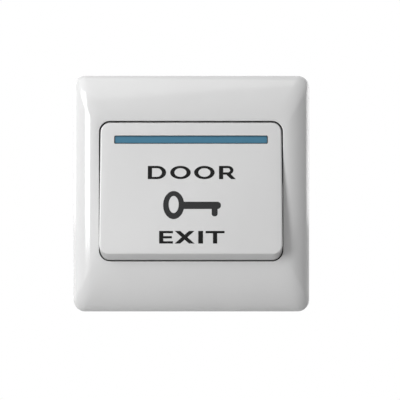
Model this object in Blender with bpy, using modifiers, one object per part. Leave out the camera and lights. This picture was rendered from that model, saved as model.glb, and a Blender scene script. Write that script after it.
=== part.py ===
"""Door exit button for a wall box: a crowned wall plate with a rocking button that closes one contact.

Sizes are in metres. X runs right along the wall, Z runs up and Y runs into the wall, so the front faces -Y.
The origin is the middle of the wall plate, on the plane of the wall.
"""

import math

import bmesh
import bpy
from mathutils import Matrix

# Air between pieces
SEAT_GAP = 0.0003
SLIDE_GAP = 0.0003
PIVOT_GAP = 0.00015
RIVET_GAP = 0.00015
STRIP_GAP = 0.0002

# How finely round shapes are cut
CORNER_STEPS = 6
CIRCLE_STEPS = 20
COIL_STEPS = 10
CROWN_STEPS = 8
EDGE_STEPS = 2
SHARP_ANGLE = math.radians(30)
WELD = 0.000001

# How far a shape runs into the one that it is joined to, and a cutter past the one that it cuts
JOIN = 0.0005
PAST = 0.002

# Wall plate
PLATE_WIDTH = 0.086
PLATE_HEIGHT = 0.086
PLATE_DEPTH = 0.009
PLATE_EDGE_DEPTH = 0.0026
PLATE_CORNER = 0.0043
PLATE_WALL = 0.0018
PLATE_FLAT_SHARE = 0.12
PLATE_CROWN_POWER = 1.75
OPENING_LIP = 0.0012
OPENING_LIP_DEPTH = 0.0032
OPENING_EDGE_RADIUS = 0.0004
PRY_NOTCH_WIDTH = 0.008
PRY_NOTCH_DEPTH = 0.0012

# Clips that hold the wall plate on the base
CLIP_X = 0.024
CLIP_TO_EDGE = 0.007
CLIP_WIDTH = 0.007
CLIP_THICKNESS = 0.0014
CLIP_BARB = 0.001
CLIP_BARB_HEIGHT = 0.0008
CLIP_LEAD = 0.0004
CLIP_LEDGE = 0.0009

# Button
BUTTON_WIDTH = 0.06485
BUTTON_HEIGHT = 0.04928
BUTTON_CENTRE_Z = 0.000865
BUTTON_CORNER = 0.0035
BUTTON_GAP = 0.00045
BUTTON_TOP_SUNK = 0.0003
BUTTON_FOOT_PROUD = 0.0044
BUTTON_FOOT_RUN = 0.00216
BUTTON_FACE = 0.002
BUTTON_WALL = 0.0014
BUTTON_SKIRT = 0.0025
BUTTON_EDGE_RADIUS = 0.0007
BUTTON_RIB_X = 0.009
BUTTON_RIB_WIDTH = 0.001
BUTTON_RIB_HEIGHT = 0.0009

# Blue strip let into the button
STRIP_TO_SIDE = 0.00518
STRIP_HEIGHT = 0.0026
STRIP_BELOW_TOP = 0.00626
STRIP_THICKNESS = 0.0008
STRIP_SUNK = 0.0003
STRIP_CORNER = 0.0003
STRIP_PEG_X = 0.013
STRIP_PEG_RADIUS = 0.0007
STRIP_PEG_LENGTH = 0.0014

# Pivot of the button
PIVOT_BELOW_TOP = 0.00801
PIVOT_HEIGHT = 0.0034
ARM_THICKNESS = 0.0024
ARM_RADIUS = 0.0029
STUD_RADIUS = 0.0016
POST_THICKNESS = 0.0028
POST_WIDTH = 0.008
POST_FOOT_WIDTH = 0.011
POST_MOUTH_HEIGHT = 0.001
POST_TO_BUTTON_WALL = 0.0009

# Hooks that stop the button from coming out
HOOK_X = 0.0185
HOOK_ABOVE_BOTTOM = 0.00287
HOOK_WIDTH = 0.004
HOOK_THICKNESS = 0.0016
HOOK_BARB = 0.0013
HOOK_BARB_HEIGHT = 0.0016
HOOK_LEAD = 0.0005
HOOK_SWING = 0.001

# Springs: how far each closed end turn climbs, in wires
END_TURN_CLIMB = 1.25

# Return springs of the button
RETURN_SPRING_TO_WALL = 0.0065
RETURN_SPRING_ABOVE_BOTTOM = 0.01077
RETURN_SPRING_RADIUS = 0.003
RETURN_SPRING_WIRE = 0.0005
RETURN_SPRING_TURNS = 5
SPRING_BOSS_LENGTH = 0.0018
SPRING_SPIGOT_RADIUS = 0.0013
SPRING_SPIGOT_LENGTH = 0.0015
SPRING_SPIGOT_LEAD = 0.00045
SPRING_CUP_WALL = 0.0008
SPRING_CUP_HEIGHT = 0.0014
SPRING_CUP_ROOM = 0.0005

# Mounting base
BASE_THICKNESS = 0.0022
BASE_TO_PLATE_WALL = 0.0008
BASE_CORNER = 0.003
RIM_INSET = 0.0016
RIM_WIDTH = 0.0012
RIM_HEIGHT = 0.0013
BASE_RIB_X = 0.0145
BASE_RIB_Z = 0.0265
BASE_RIB_WIDTH = 0.0012
BASE_RIB_HEIGHT = 0.0008
FIXING_SPACING = 0.0603
FIXING_SLOT_WIDTH = 0.005
FIXING_SLOT_LENGTH = 0.009
STOP_X = 0.0125
STOP_ABOVE_BOTTOM = 0.0068
STOP_RADIUS = 0.0018
BUTTON_TRAVEL = math.radians(4.2)

# Plunger
PLUNGER_ABOVE_BOTTOM = 0.01777
PLUNGER_WIDTH = 0.008
PLUNGER_HEIGHT = 0.006
PLUNGER_DOME = 0.0012
PLUNGER_FLANGE_RIM = 0.0013
PLUNGER_FLANGE = 0.0015
PUSHER_RADIUS = 0.003
PUSHER_LENGTH = 0.0018
COLLAR_WALL = 0.0014
COLLAR_HEIGHT = 0.002
CARRIAGE_WIDTH = 0.006
CARRIAGE_WALL = 0.0014
CARRIAGE_END = 0.0012
TAIL_RADIUS = 0.0014
TAIL_LENGTH = 0.0015
PLUNGER_SPRING_RADIUS = 0.0028
PLUNGER_SPRING_WIRE = 0.00045
PLUNGER_SPRING_TURNS = 6
PLUNGER_SPRING_LENGTH = 0.0068

# Moving contact
BRIDGE_PAST_CONTACT = 0.002
BRIDGE_WIDTH = 0.005
BRIDGE_THICKNESS = 0.0008
CONTACT_SPRING_RADIUS = 0.0021
CONTACT_SPRING_WIRE = 0.00035
CONTACT_SPRING_TURNS = 4
CONTACT_SPRING_LENGTH = 0.0032
CONTACT_HEAD_RADIUS = 0.0017
CONTACT_HEAD = 0.0007
CONTACT_DOME = 0.0002
CONTACT_DOME_RUN = 0.0007
CONTACT_SHANK_RADIUS = 0.0008
CONTACT_OPENING = 0.0012

# Contact housing
HOUSING_WIDTH = 0.031
HOUSING_WALL = 0.0015
HOUSING_FLOOR = 0.0015
HOUSING_CORNER = 0.0015
CAVITY_HEIGHT = 0.014
BAY_HEIGHT = 0.009
BAY_DEPTH = 0.006
TOWER_WALL = 0.0012
EAR_WIDTH = 0.011
EAR_THICKNESS = 0.002
HOUSING_SCREW_REACH = 0.0126

# Brass terminals and their clamps
TERMINAL_THICKNESS = 0.001
TERMINAL_WIDTH = 0.0064
TERMINAL_BEND = 0.0004
TERMINAL_TO_WALL = 0.0011
TERMINAL_TO_TOWER = 0.0017
TAB_TO_TOWER = 0.0008
CLAMP_HEIGHT = 0.0064
CLAMP_TO_TOWER = 0.0015
CLAMP_TO_TERMINAL_END = 0.0005
CLAMP_THICKNESS = 0.0009
CLAMP_LIP = 0.0005
CLAMP_HOLLOW = 0.0003

# Screws
TERMINAL_SCREW_RADIUS = 0.0015
TERMINAL_SCREW_HEAD_RADIUS = 0.0028
TERMINAL_SCREW_HEAD = 0.002
TERMINAL_SCREW_TIP = 0.001
HOUSING_SCREW_RADIUS = 0.0013
HOUSING_SCREW_HEAD_RADIUS = 0.0026
HOUSING_SCREW_HEAD = 0.0017
HOUSING_SCREW_GRIP = 0.0034
BOSS_WALL = 0.0016
BOSS_END = 0.0006
SLOT_WIDTH = 0.0007
SLOT_DEPTH = 0.0009
SLOT_REACH_SHARE = 0.7

# A pan head from its crown to its seat, as shares of its radius and its height
PAN_HEAD_SHAPE = ((0.0, 1.0), (0.55, 0.96), (0.86, 0.72), (1.0, 0.35), (1.0, 0.0))
POINT_SHARE = 0.35

# Colours, roughness and metallic value of the materials
GLOSS_WHITE = ((0.70, 0.70, 0.70), 0.28, 0.0)
BUTTON_WHITE = ((0.68, 0.68, 0.68), 0.36, 0.0)
BASE_WHITE = ((0.66, 0.66, 0.64), 0.45, 0.0)
HOUSING_WHITE = ((0.62, 0.62, 0.60), 0.50, 0.0)
STRIP_BLUE = ((0.075, 0.205, 0.300), 0.30, 0.0)
PLUNGER_BLACK = ((0.03, 0.03, 0.03), 0.40, 0.0)
BRASS = ((0.72, 0.52, 0.22), 0.30, 1.0)
SILVER = ((0.80, 0.80, 0.78), 0.25, 1.0)
ZINC_STEEL = ((0.62, 0.63, 0.65), 0.32, 1.0)
SPRING_STEEL = ((0.50, 0.50, 0.52), 0.35, 1.0)

# Places worked out from the sizes above
BASE_FRONT_Y = -BASE_THICKNESS
PLATE_FACE_Y = -PLATE_DEPTH
BUTTON_TOP_Z = BUTTON_CENTRE_Z + BUTTON_HEIGHT / 2
BUTTON_BOTTOM_Z = BUTTON_CENTRE_Z - BUTTON_HEIGHT / 2
BUTTON_FOOT_Z = BUTTON_BOTTOM_Z + BUTTON_FOOT_RUN
BUTTON_SKIRT_Y = PLATE_FACE_Y + BUTTON_SKIRT
OPENING_HALF_WIDTH = BUTTON_WIDTH / 2 + BUTTON_GAP
OPENING_TOP_Z = BUTTON_TOP_Z + BUTTON_GAP
OPENING_BOTTOM_Z = BUTTON_BOTTOM_Z - BUTTON_GAP
OPENING_CORNER = BUTTON_CORNER + BUTTON_GAP
PIVOT_Y = BASE_FRONT_Y - PIVOT_HEIGHT
PIVOT_Z = BUTTON_TOP_Z - PIVOT_BELOW_TOP
POST_OUTER_X = BUTTON_WIDTH / 2 - BUTTON_WALL - POST_TO_BUTTON_WALL
POST_INNER_X = POST_OUTER_X - POST_THICKNESS
ARM_OUTER_X = POST_INNER_X - SLIDE_GAP
CLIP_Z = PLATE_HEIGHT / 2 - CLIP_TO_EDGE
BASE_HALF_WIDTH = PLATE_WIDTH / 2 - PLATE_WALL - BASE_TO_PLATE_WALL
BASE_HALF_HEIGHT = PLATE_HEIGHT / 2 - PLATE_WALL - BASE_TO_PLATE_WALL
HOOK_Z = BUTTON_BOTTOM_Z + HOOK_ABOVE_BOTTOM
RETURN_SPRING_X = BUTTON_WIDTH / 2 - BUTTON_WALL - RETURN_SPRING_TO_WALL
RETURN_SPRING_Z = BUTTON_BOTTOM_Z + RETURN_SPRING_ABOVE_BOTTOM
PLUNGER_Z = BUTTON_BOTTOM_Z + PLUNGER_ABOVE_BOTTOM
STRIP_WIDTH = BUTTON_WIDTH - 2 * STRIP_TO_SIDE
STRIP_Z = BUTTON_TOP_Z - STRIP_BELOW_TOP
FACE_RISE = BUTTON_TOP_SUNK + BUTTON_FOOT_PROUD
FACE_TILT = math.atan(FACE_RISE / (BUTTON_TOP_Z - BUTTON_FOOT_Z))
STOP_Z = BUTTON_BOTTOM_Z + STOP_ABOVE_BOTTOM

# The tower is the housing's middle wall, round the plunger's spring. Each terminal lies beside it
TOWER_HALF_WIDTH = PLUNGER_SPRING_RADIUS + SPRING_CUP_ROOM + TOWER_WALL
TERMINAL_OUTER_X = HOUSING_WIDTH / 2 - HOUSING_WALL - TERMINAL_TO_WALL
TERMINAL_INNER_X = TOWER_HALF_WIDTH + TERMINAL_TO_TOWER
CLAMP_OUTER_X = TERMINAL_OUTER_X - CLAMP_TO_TERMINAL_END
CLAMP_INNER_X = TOWER_HALF_WIDTH + CLAMP_TO_TOWER
CONTACT_X = (CLAMP_INNER_X + CLAMP_OUTER_X) / 2
BRIDGE_LENGTH = 2 * (CONTACT_X + BRIDGE_PAST_CONTACT)

# The contact block's pieces lie one behind the other, from the base into the wall
FLANGE_Y = SEAT_GAP
CARRIAGE_Y = FLANGE_Y + PLUNGER_FLANGE
WINDOW_Y = CARRIAGE_Y + CARRIAGE_END
CONTACT_SPRING_Y = WINDOW_Y + SEAT_GAP
BRIDGE_Y = CONTACT_SPRING_Y + CONTACT_SPRING_LENGTH + SEAT_GAP
BRIDGE_BACK_Y = BRIDGE_Y + BRIDGE_THICKNESS
WINDOW_END_Y = BRIDGE_BACK_Y + SEAT_GAP
CARRIAGE_BACK_Y = WINDOW_END_Y + CARRIAGE_END
BRIDGE_CONTACT_Y = BRIDGE_BACK_Y + RIVET_GAP
FIXED_CONTACT_Y = BRIDGE_CONTACT_Y + CONTACT_HEAD + CONTACT_OPENING
TERMINAL_Y = FIXED_CONTACT_Y + CONTACT_HEAD + RIVET_GAP
FLOOR_Y = TERMINAL_Y + TERMINAL_THICKNESS + SEAT_GAP
FLOOR_BACK_Y = FLOOR_Y + HOUSING_FLOOR
TAB_Y = FLOOR_BACK_Y + SEAT_GAP
CLAMP_Y = TAB_Y + TERMINAL_THICKNESS + SEAT_GAP
TERMINAL_SCREW_Y = CLAMP_Y + CLAMP_THICKNESS + SEAT_GAP
HOUSING_BACK_Y = FLOOR_BACK_Y + BAY_DEPTH
PLUNGER_SPRING_Y = CARRIAGE_BACK_Y + SEAT_GAP
POCKET_Y = PLUNGER_SPRING_Y + PLUNGER_SPRING_LENGTH + SEAT_GAP
EAR_BACK_Y = SEAT_GAP + EAR_THICKNESS
HOUSING_SCREW_Y = EAR_BACK_Y + SEAT_GAP

# How each plane of drawing lies in space: across, up, and the way that an outline is thickened
FACING = {
    "XZ": Matrix(((1, 0, 0), (0, 0, -1), (0, 1, 0))),
    "YZ": Matrix(((0, 0, 1), (1, 0, 0), (0, 1, 0))),
    "XY": Matrix(((1, 0, 0), (0, 1, 0), (0, 0, 1))),
}


def face_y(z):
    """Depth of the button's sloping face at height z."""
    share = (BUTTON_TOP_Z - z) / (BUTTON_TOP_Z - BUTTON_FOOT_Z)
    return PLATE_FACE_Y + BUTTON_TOP_SUNK - FACE_RISE * share


def underside_y(z):
    """Depth of the back of the button's face at height z."""
    return face_y(z) + BUTTON_FACE


# Scene and materials


def clear_scene():
    for obj in list(bpy.data.objects):
        bpy.data.objects.remove(obj)


def new_collection(name):
    collection = bpy.data.collections.new(name)
    bpy.context.scene.collection.children.link(collection)
    return collection


def new_material(name, look):
    colour, roughness, metallic = look
    material = bpy.data.materials.new(name)
    material.use_nodes = True
    shader = material.node_tree.nodes["Principled BSDF"]
    shader.inputs["Base Color"].default_value = (*colour, 1.0)
    shader.inputs["Roughness"].default_value = roughness
    shader.inputs["Metallic"].default_value = metallic
    return material


def finish(obj, look):
    """Gives a sub-part its own material and smooth shading on its round faces."""
    obj.data.materials.append(new_material(obj.name, look))
    if obj.type == "MESH":
        obj.data.shade_smooth()
        obj.data.set_sharp_from_angle(angle=SHARP_ANGLE)
    return obj


# Shapes


def new_object(name, data):
    obj = bpy.data.objects.new(name, data)
    bpy.data.collections["door_exit_button"].objects.link(obj)
    return obj


def object_from_bmesh(name, shape):
    bmesh.ops.recalc_face_normals(shape, faces=shape.faces)
    mesh = bpy.data.meshes.new(name)
    shape.to_mesh(mesh)
    shape.free()
    return new_object(name, mesh)


def box(name, x, y, z):
    """A block between two values on each axis."""
    shape = bmesh.new()
    bmesh.ops.create_cube(shape, size=1)
    size = Matrix.Diagonal((x[1] - x[0], y[1] - y[0], z[1] - z[0], 1))
    middle = Matrix.Translation(((x[0] + x[1]) / 2, (y[0] + y[1]) / 2, (z[0] + z[1]) / 2))
    bmesh.ops.transform(shape, matrix=middle @ size, verts=shape.verts)
    return object_from_bmesh(name, shape)


def cylinder(name, radius, centre, low, high, axis="Y"):
    """A round bar along Y or X. centre holds its place on the two other axes, in X, Y, Z order."""
    shape = bmesh.new()
    bmesh.ops.create_cone(
        shape, cap_ends=True, segments=CIRCLE_STEPS, radius1=radius, radius2=radius, depth=high - low
    )
    middle = (low + high) / 2
    if axis == "Y":
        turn = Matrix.Rotation(math.pi / 2, 4, "X")
        place = Matrix.Translation((centre[0], middle, centre[1]))
    else:
        turn = Matrix.Rotation(math.pi / 2, 4, "Y")
        place = Matrix.Translation((middle, centre[0], centre[1]))
    bmesh.ops.transform(shape, matrix=place @ turn, verts=shape.verts)
    return object_from_bmesh(name, shape)


def turned(name, profile, x=0.0, z=0.0):
    """A round piece about a line along Y. The profile holds (radius, y), from its back to its front."""
    mesh = bpy.data.meshes.new(name)
    edges = [(i, i + 1) for i in range(len(profile) - 1)]
    mesh.from_pydata([(radius, 0, y) for radius, y in profile], edges, [])
    obj = new_object(name, mesh)
    obj.rotation_euler = (-math.pi / 2, 0, 0)
    obj.location = (x, 0, z)
    screw = obj.modifiers.new("turn", "SCREW")
    screw.steps = CIRCLE_STEPS
    screw.render_steps = CIRCLE_STEPS
    screw.use_merge_vertices = True
    screw.merge_threshold = WELD
    screw.use_smooth_shade = True
    return obj


def mesh_from_curve(curve_object):
    """The mesh of a filled curve with its caps welded, in place of the curve."""
    bpy.context.view_layer.update()
    graph = bpy.context.evaluated_depsgraph_get()
    mesh = bpy.data.meshes.new_from_object(curve_object.evaluated_get(graph))
    shape = bmesh.new()
    shape.from_mesh(mesh)
    bmesh.ops.remove_doubles(shape, verts=shape.verts, dist=WELD)
    shape.to_mesh(mesh)
    shape.free()
    name, place = curve_object.name, curve_object.matrix_world.copy()
    bpy.data.objects.remove(curve_object)
    obj = new_object(name, mesh)
    obj.matrix_world = place
    return obj


def extruded(name, plane, outlines, low, high):
    """Outlines in the XZ, YZ or XY plane, thickened across it from low to high. Inner outlines are holes."""
    curve = bpy.data.curves.new(name, "CURVE")
    curve.dimensions = "2D"
    curve.fill_mode = "BOTH"
    curve.extrude = (high - low) / 2
    for outline in outlines:
        spline = curve.splines.new("POLY")
        spline.points.add(len(outline) - 1)
        for point, (across, up) in zip(spline.points, outline):
            point.co = (across, up, 0, 1)
        spline.use_cyclic_u = True
    obj = new_object(name, curve)
    middle = (low + high) / 2
    place = {"XZ": (0, middle, 0), "YZ": (middle, 0, 0), "XY": (0, 0, middle)}[plane]
    obj.matrix_world = Matrix.Translation(place) @ FACING[plane].to_4x4()
    return mesh_from_curve(obj)


def loft(name, rings, closed):
    """A skin over rings of equal count. It is closed on itself from last ring to first, or capped at both."""
    shape = bmesh.new()
    rows = [[shape.verts.new(point) for point in ring] for ring in rings]
    pairs = list(zip(rows, rows[1:]))
    if closed:
        pairs.append((rows[-1], rows[0]))
    else:
        shape.faces.new(rows[0])
        shape.faces.new(rows[-1])
    for one, other in pairs:
        for i in range(len(one)):
            j = (i + 1) % len(one)
            shape.faces.new((one[i], one[j], other[j], other[i]))
    return object_from_bmesh(name, shape)


def coil(name, radius, wire, turns, x, z, low, high):
    """A compression spring along Y between two depths, with closed end turns. radius is its outer radius."""
    closed_pitch = END_TURN_CLIMB * wire
    first = low + wire / 2
    last = high - wire / 2
    open_pitch = (last - first - 2 * closed_pitch) / (turns - 2)
    curve = bpy.data.curves.new(name, "CURVE")
    curve.dimensions = "3D"
    curve.bevel_depth = wire / 2
    curve.bevel_resolution = 2
    curve.use_fill_caps = True
    spline = curve.splines.new("POLY")
    count = turns * COIL_STEPS
    spline.points.add(count)
    for i, point in enumerate(spline.points):
        turn = i / COIL_STEPS
        ends = min(turn, 1) + max(turn - (turns - 1), 0)
        y = first + closed_pitch * ends + open_pitch * (turn - ends)
        angle = 2 * math.pi * turn
        middle = radius - wire / 2
        point.co = (x + middle * math.cos(angle), y, z + middle * math.sin(angle), 1)
    return new_object(name, curve)


def rounded_rectangle(x_low, x_high, z_low, z_high, radius):
    """Corner arcs joined by straight sides, as (x, z) points in order."""
    corners = (
        (x_high - radius, z_low + radius, -90),
        (x_high - radius, z_high - radius, 0),
        (x_low + radius, z_high - radius, 90),
        (x_low + radius, z_low + radius, 180),
    )
    points = []
    for centre_x, centre_z, start in corners:
        for step in range(CORNER_STEPS + 1):
            angle = math.radians(start + 90 * step / CORNER_STEPS)
            points.append((centre_x + radius * math.cos(angle), centre_z + radius * math.sin(angle)))
    return points


def centred_rectangle(x, z, width, height, radius):
    return rounded_rectangle(x - width / 2, x + width / 2, z - height / 2, z + height / 2, radius)


def arc(centre, radius, start, end, steps):
    """Points on a circle from one angle to another, in degrees."""
    angles = [math.radians(start + (end - start) * i / steps) for i in range(steps + 1)]
    return [(centre[0] + radius * math.cos(a), centre[1] + radius * math.sin(a)) for a in angles]


def quarter_bend(corner, away, toward, radius):
    """The arc that rounds a right-angled corner. away and toward point along the legs that meet there."""
    points = []
    for step in range(EDGE_STEPS + 1):
        angle = math.pi / 2 * step / EDGE_STEPS
        back, on = radius * (1 - math.sin(angle)), radius * (1 - math.cos(angle))
        points.append(tuple(c + a * back + t * on for c, a, t in zip(corner, away, toward)))
    return points


def combine(target, piece, operation):
    modifier = target.modifiers.new(piece.name, "BOOLEAN")
    modifier.operation = operation
    modifier.object = piece
    piece.hide_render = True
    piece.display_type = "WIRE"
    bpy.data.collections["door_exit_button"].objects.unlink(piece)
    bpy.data.collections["cutters"].objects.link(piece)


def add(target, *pieces):
    for piece in pieces:
        combine(target, piece, "UNION")


def cut(target, *pieces):
    for piece in pieces:
        combine(target, piece, "DIFFERENCE")


def mirrored(shape_at):
    """Two copies of a shape, made at plus and minus one."""
    return [shape_at(side) for side in (-1, 1)]


def span(side, near, far):
    """The range from near to far on the given side of the middle, lowest first."""
    return tuple(sorted((side * near, side * far)))


# Wall plate


def plate_ring(share, depth, inset=0.0):
    """A ring of the crown, from the plate's outline at share 0 to its opening at share 1."""

    def between(outer, inner):
        return outer + (inner - outer) * share

    half_width = between(PLATE_WIDTH / 2 - inset, OPENING_HALF_WIDTH + OPENING_LIP * (inset > 0))
    top = between(PLATE_HEIGHT / 2 - inset, OPENING_TOP_Z + OPENING_LIP * (inset > 0))
    bottom = between(-PLATE_HEIGHT / 2 + inset, OPENING_BOTTOM_Z - OPENING_LIP * (inset > 0))
    radius = between(PLATE_CORNER - inset, OPENING_CORNER + OPENING_LIP * (inset > 0))
    outline = rounded_rectangle(-half_width, half_width, bottom, top, radius)
    return [(x, -depth, z) for x, z in outline]


def crown_depth(share):
    """Height of the crown above the wall. Power 2 gives a quarter of an ellipse, and a lower one is flatter."""
    along = min(share / (1 - PLATE_FLAT_SHARE), 1)
    rise = (1 - (1 - along) ** PLATE_CROWN_POWER) ** (1 / PLATE_CROWN_POWER)
    return PLATE_EDGE_DEPTH + (PLATE_DEPTH - PLATE_EDGE_DEPTH) * rise


def crown_shares():
    """Where the rings of the crown lie: close together where it bends most."""
    curve = [1 - math.cos(math.pi / 2 * i / CROWN_STEPS) for i in range(CROWN_STEPS + 1)]
    return [(1 - PLATE_FLAT_SHARE) * share for share in curve]


def opening_ring(grow, y):
    outline = rounded_rectangle(
        -OPENING_HALF_WIDTH - grow,
        OPENING_HALF_WIDTH + grow,
        OPENING_BOTTOM_Z - grow,
        OPENING_TOP_Z + grow,
        OPENING_CORNER + grow,
    )
    return [(x, y, z) for x, z in outline]


def cover_frame():
    lip_back_y = PLATE_FACE_Y + OPENING_LIP_DEPTH
    rings = [plate_ring(0, 0)]
    rings += [plate_ring(share, crown_depth(share)) for share in crown_shares()]
    for step in range(EDGE_STEPS + 1):
        angle = math.pi / 2 * step / EDGE_STEPS
        grow = OPENING_EDGE_RADIUS * (1 - math.sin(angle))
        back = OPENING_EDGE_RADIUS * (1 - math.cos(angle))
        rings.append(opening_ring(grow, PLATE_FACE_Y + back))
    rings.append(opening_ring(0, lip_back_y))
    rings.append(opening_ring(OPENING_LIP, lip_back_y))
    inner = [plate_ring(share, crown_depth(share) - PLATE_WALL, PLATE_WALL) for share in crown_shares()]
    rings.append(opening_ring(OPENING_LIP, PLATE_FACE_Y + PLATE_WALL))
    rings += reversed(inner)
    rings.append(plate_ring(0, 0, PLATE_WALL))
    frame = loft("cover_frame", rings, closed=True)
    for side_x in (-1, 1):
        for side_z in (-1, 1):
            add(frame, cover_clip(side_x, side_z))
    notch = box(
        "pry_notch",
        (-PRY_NOTCH_WIDTH / 2, PRY_NOTCH_WIDTH / 2),
        (-PRY_NOTCH_DEPTH, PAST),
        (-PLATE_HEIGHT / 2 - PAST, -PLATE_HEIGHT / 2 + PLATE_WALL + BASE_TO_PLATE_WALL / 2),
    )
    cut(frame, notch)
    return finish(frame, GLOSS_WHITE)


def cover_clip(side_x, side_z):
    """A clip behind the crown whose barb catches under a ledge of the base."""
    share = (PLATE_HEIGHT / 2 - CLIP_Z) / (PLATE_HEIGHT / 2 - OPENING_TOP_Z)
    root_y = -crown_depth(share) + PLATE_WALL / 2
    barb_front_y = BASE_FRONT_Y + CLIP_LEDGE + SEAT_GAP
    barb_back_y = barb_front_y + CLIP_BARB_HEIGHT
    inner = CLIP_Z - CLIP_THICKNESS / 2
    outer = CLIP_Z + CLIP_THICKNESS / 2
    profile = [
        (root_y, inner),
        (barb_back_y, inner),
        (barb_back_y, outer - CLIP_LEAD),
        (barb_front_y, outer + CLIP_BARB),
        (barb_front_y, outer),
        (root_y, outer),
    ]
    outline = [(y, side_z * z) for y, z in profile]
    low, high = side_x * CLIP_X - CLIP_WIDTH / 2, side_x * CLIP_X + CLIP_WIDTH / 2
    return extruded(f"cover_clip_{side_x}_{side_z}", "YZ", [outline], low, high)


# Button and its blue strip


def button_ring(inset, foot_share, y_at):
    """A ring round the button. foot_share says how far its lower side has climbed the sloping foot."""
    outline = rounded_rectangle(
        -BUTTON_WIDTH / 2 + inset,
        BUTTON_WIDTH / 2 - inset,
        BUTTON_BOTTOM_Z + BUTTON_FOOT_RUN * foot_share + inset,
        BUTTON_TOP_Z - inset,
        BUTTON_CORNER - inset,
    )
    return [(x, y_at(z), z) for x, z in outline]


def slope_between(top_y, bottom_y):
    """A plane across the button, given by its depth at the top and the bottom."""

    def y_at(z):
        return top_y + (bottom_y - top_y) * (BUTTON_TOP_Z - z) / BUTTON_HEIGHT

    return y_at


def button_shell():
    skirt = slope_between(BUTTON_SKIRT_Y, BUTTON_SKIRT_Y)
    outer_top_y = (BUTTON_SKIRT_Y + face_y(BUTTON_TOP_Z) + BUTTON_EDGE_RADIUS) / 2
    inner_top_y = (BUTTON_SKIRT_Y + underside_y(BUTTON_TOP_Z)) / 2
    rings = []
    for step in range(EDGE_STEPS + 1):
        angle = math.pi / 2 * (1 - step / EDGE_STEPS)
        inset = BUTTON_EDGE_RADIUS * (1 - math.cos(angle))
        back = BUTTON_EDGE_RADIUS * (1 - math.sin(angle))
        rings.append(button_ring(inset, 1, lambda z, back=back: face_y(z) + back))
    rings.append(button_ring(0, 0, slope_between(outer_top_y, PLATE_FACE_Y)))
    rings.append(button_ring(0, 0, skirt))
    rings.append(button_ring(BUTTON_WALL, 0, skirt))
    rings.append(button_ring(BUTTON_WALL, 0, slope_between(inner_top_y, PLATE_FACE_Y)))
    rings.append(button_ring(BUTTON_WALL, 1, underside_y))
    return loft("rocker_button", rings, closed=False)


def pivot_arm(side):
    """An arm behind the face that ends round the pivot."""
    low_z, high_z = PIVOT_Z - ARM_RADIUS, PIVOT_Z + ARM_RADIUS
    outline = [(underside_y(high_z) - JOIN, high_z), (underside_y(low_z) - JOIN, low_z)]
    outline += arc((PIVOT_Y, PIVOT_Z), ARM_RADIUS, -90, 90, 2 * CORNER_STEPS)
    low, high = span(side, ARM_OUTER_X - ARM_THICKNESS, ARM_OUTER_X)
    return extruded(f"pivot_arm_{side}", "YZ", [outline], low, high)


def pivot_stud(side):
    low, high = span(side, ARM_OUTER_X - ARM_THICKNESS / 2, POST_OUTER_X - SLIDE_GAP)
    return cylinder(f"pivot_stud_{side}", STUD_RADIUS, (PIVOT_Y, PIVOT_Z), low, high, axis="X")


def spring_boss(side):
    """A round seat with a spigot that centres the return spring."""
    front_y = underside_y(RETURN_SPRING_Z) - JOIN
    seat_y = underside_y(RETURN_SPRING_Z) + SPRING_BOSS_LENGTH
    profile = [
        (0, seat_y + SPRING_SPIGOT_LENGTH),
        (SPRING_SPIGOT_RADIUS - SPRING_SPIGOT_LEAD, seat_y + SPRING_SPIGOT_LENGTH),
        (SPRING_SPIGOT_RADIUS, seat_y + SPRING_SPIGOT_LENGTH - SPRING_SPIGOT_LEAD),
        (SPRING_SPIGOT_RADIUS, seat_y),
        (RETURN_SPRING_RADIUS, seat_y),
        (RETURN_SPRING_RADIUS, front_y),
        (0, front_y),
    ]
    return turned(f"spring_boss_{side}", profile, side * RETURN_SPRING_X, RETURN_SPRING_Z)


def limit_hook(side):
    """A hook that passes through the base and catches behind it."""
    root_y = underside_y(HOOK_Z) - JOIN
    barb_front_y = SEAT_GAP
    barb_back_y = barb_front_y + HOOK_BARB_HEIGHT
    outline = [
        (root_y, HOOK_Z),
        (barb_front_y, HOOK_Z),
        (barb_front_y, HOOK_Z - HOOK_BARB),
        (barb_back_y, HOOK_Z + HOOK_LEAD),
        (barb_back_y, HOOK_Z + HOOK_THICKNESS),
        (root_y, HOOK_Z + HOOK_THICKNESS),
    ]
    middle = side * HOOK_X
    return extruded(f"limit_hook_{side}", "YZ", [outline], middle - HOOK_WIDTH / 2, middle + HOOK_WIDTH / 2)


def button_rib(side):
    """A stiffening rib that follows the back of the face."""
    low_z, high_z = BUTTON_FOOT_Z + BUTTON_WALL, PIVOT_Z
    outline = [
        (underside_y(low_z) - JOIN, low_z),
        (underside_y(low_z) + BUTTON_RIB_HEIGHT, low_z),
        (underside_y(high_z) + BUTTON_RIB_HEIGHT, high_z),
        (underside_y(high_z) - JOIN, high_z),
    ]
    middle = side * BUTTON_RIB_X
    low, high = middle - BUTTON_RIB_WIDTH / 2, middle + BUTTON_RIB_WIDTH / 2
    return extruded(f"button_rib_{side}", "YZ", [outline], low, high)


def pusher_y():
    """Depth of the end of the pusher, which presses the plunger."""
    return underside_y(PLUNGER_Z) + PUSHER_LENGTH


def strip_depths():
    """Depths of the strip's front, its back and the floor of its recess, at the middle of the strip."""
    front = face_y(STRIP_Z) + STRIP_SUNK
    back = front + STRIP_THICKNESS
    return front, back, back + STRIP_GAP


def laid_on_face(piece):
    """Leans a piece drawn upright about the middle of the strip, so that it follows the sloping face."""
    middle = Matrix.Translation((0, face_y(STRIP_Z), STRIP_Z))
    piece.matrix_world = middle @ Matrix.Rotation(-FACE_TILT, 4, "X") @ middle.inverted() @ piece.matrix_world
    return piece


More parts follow.
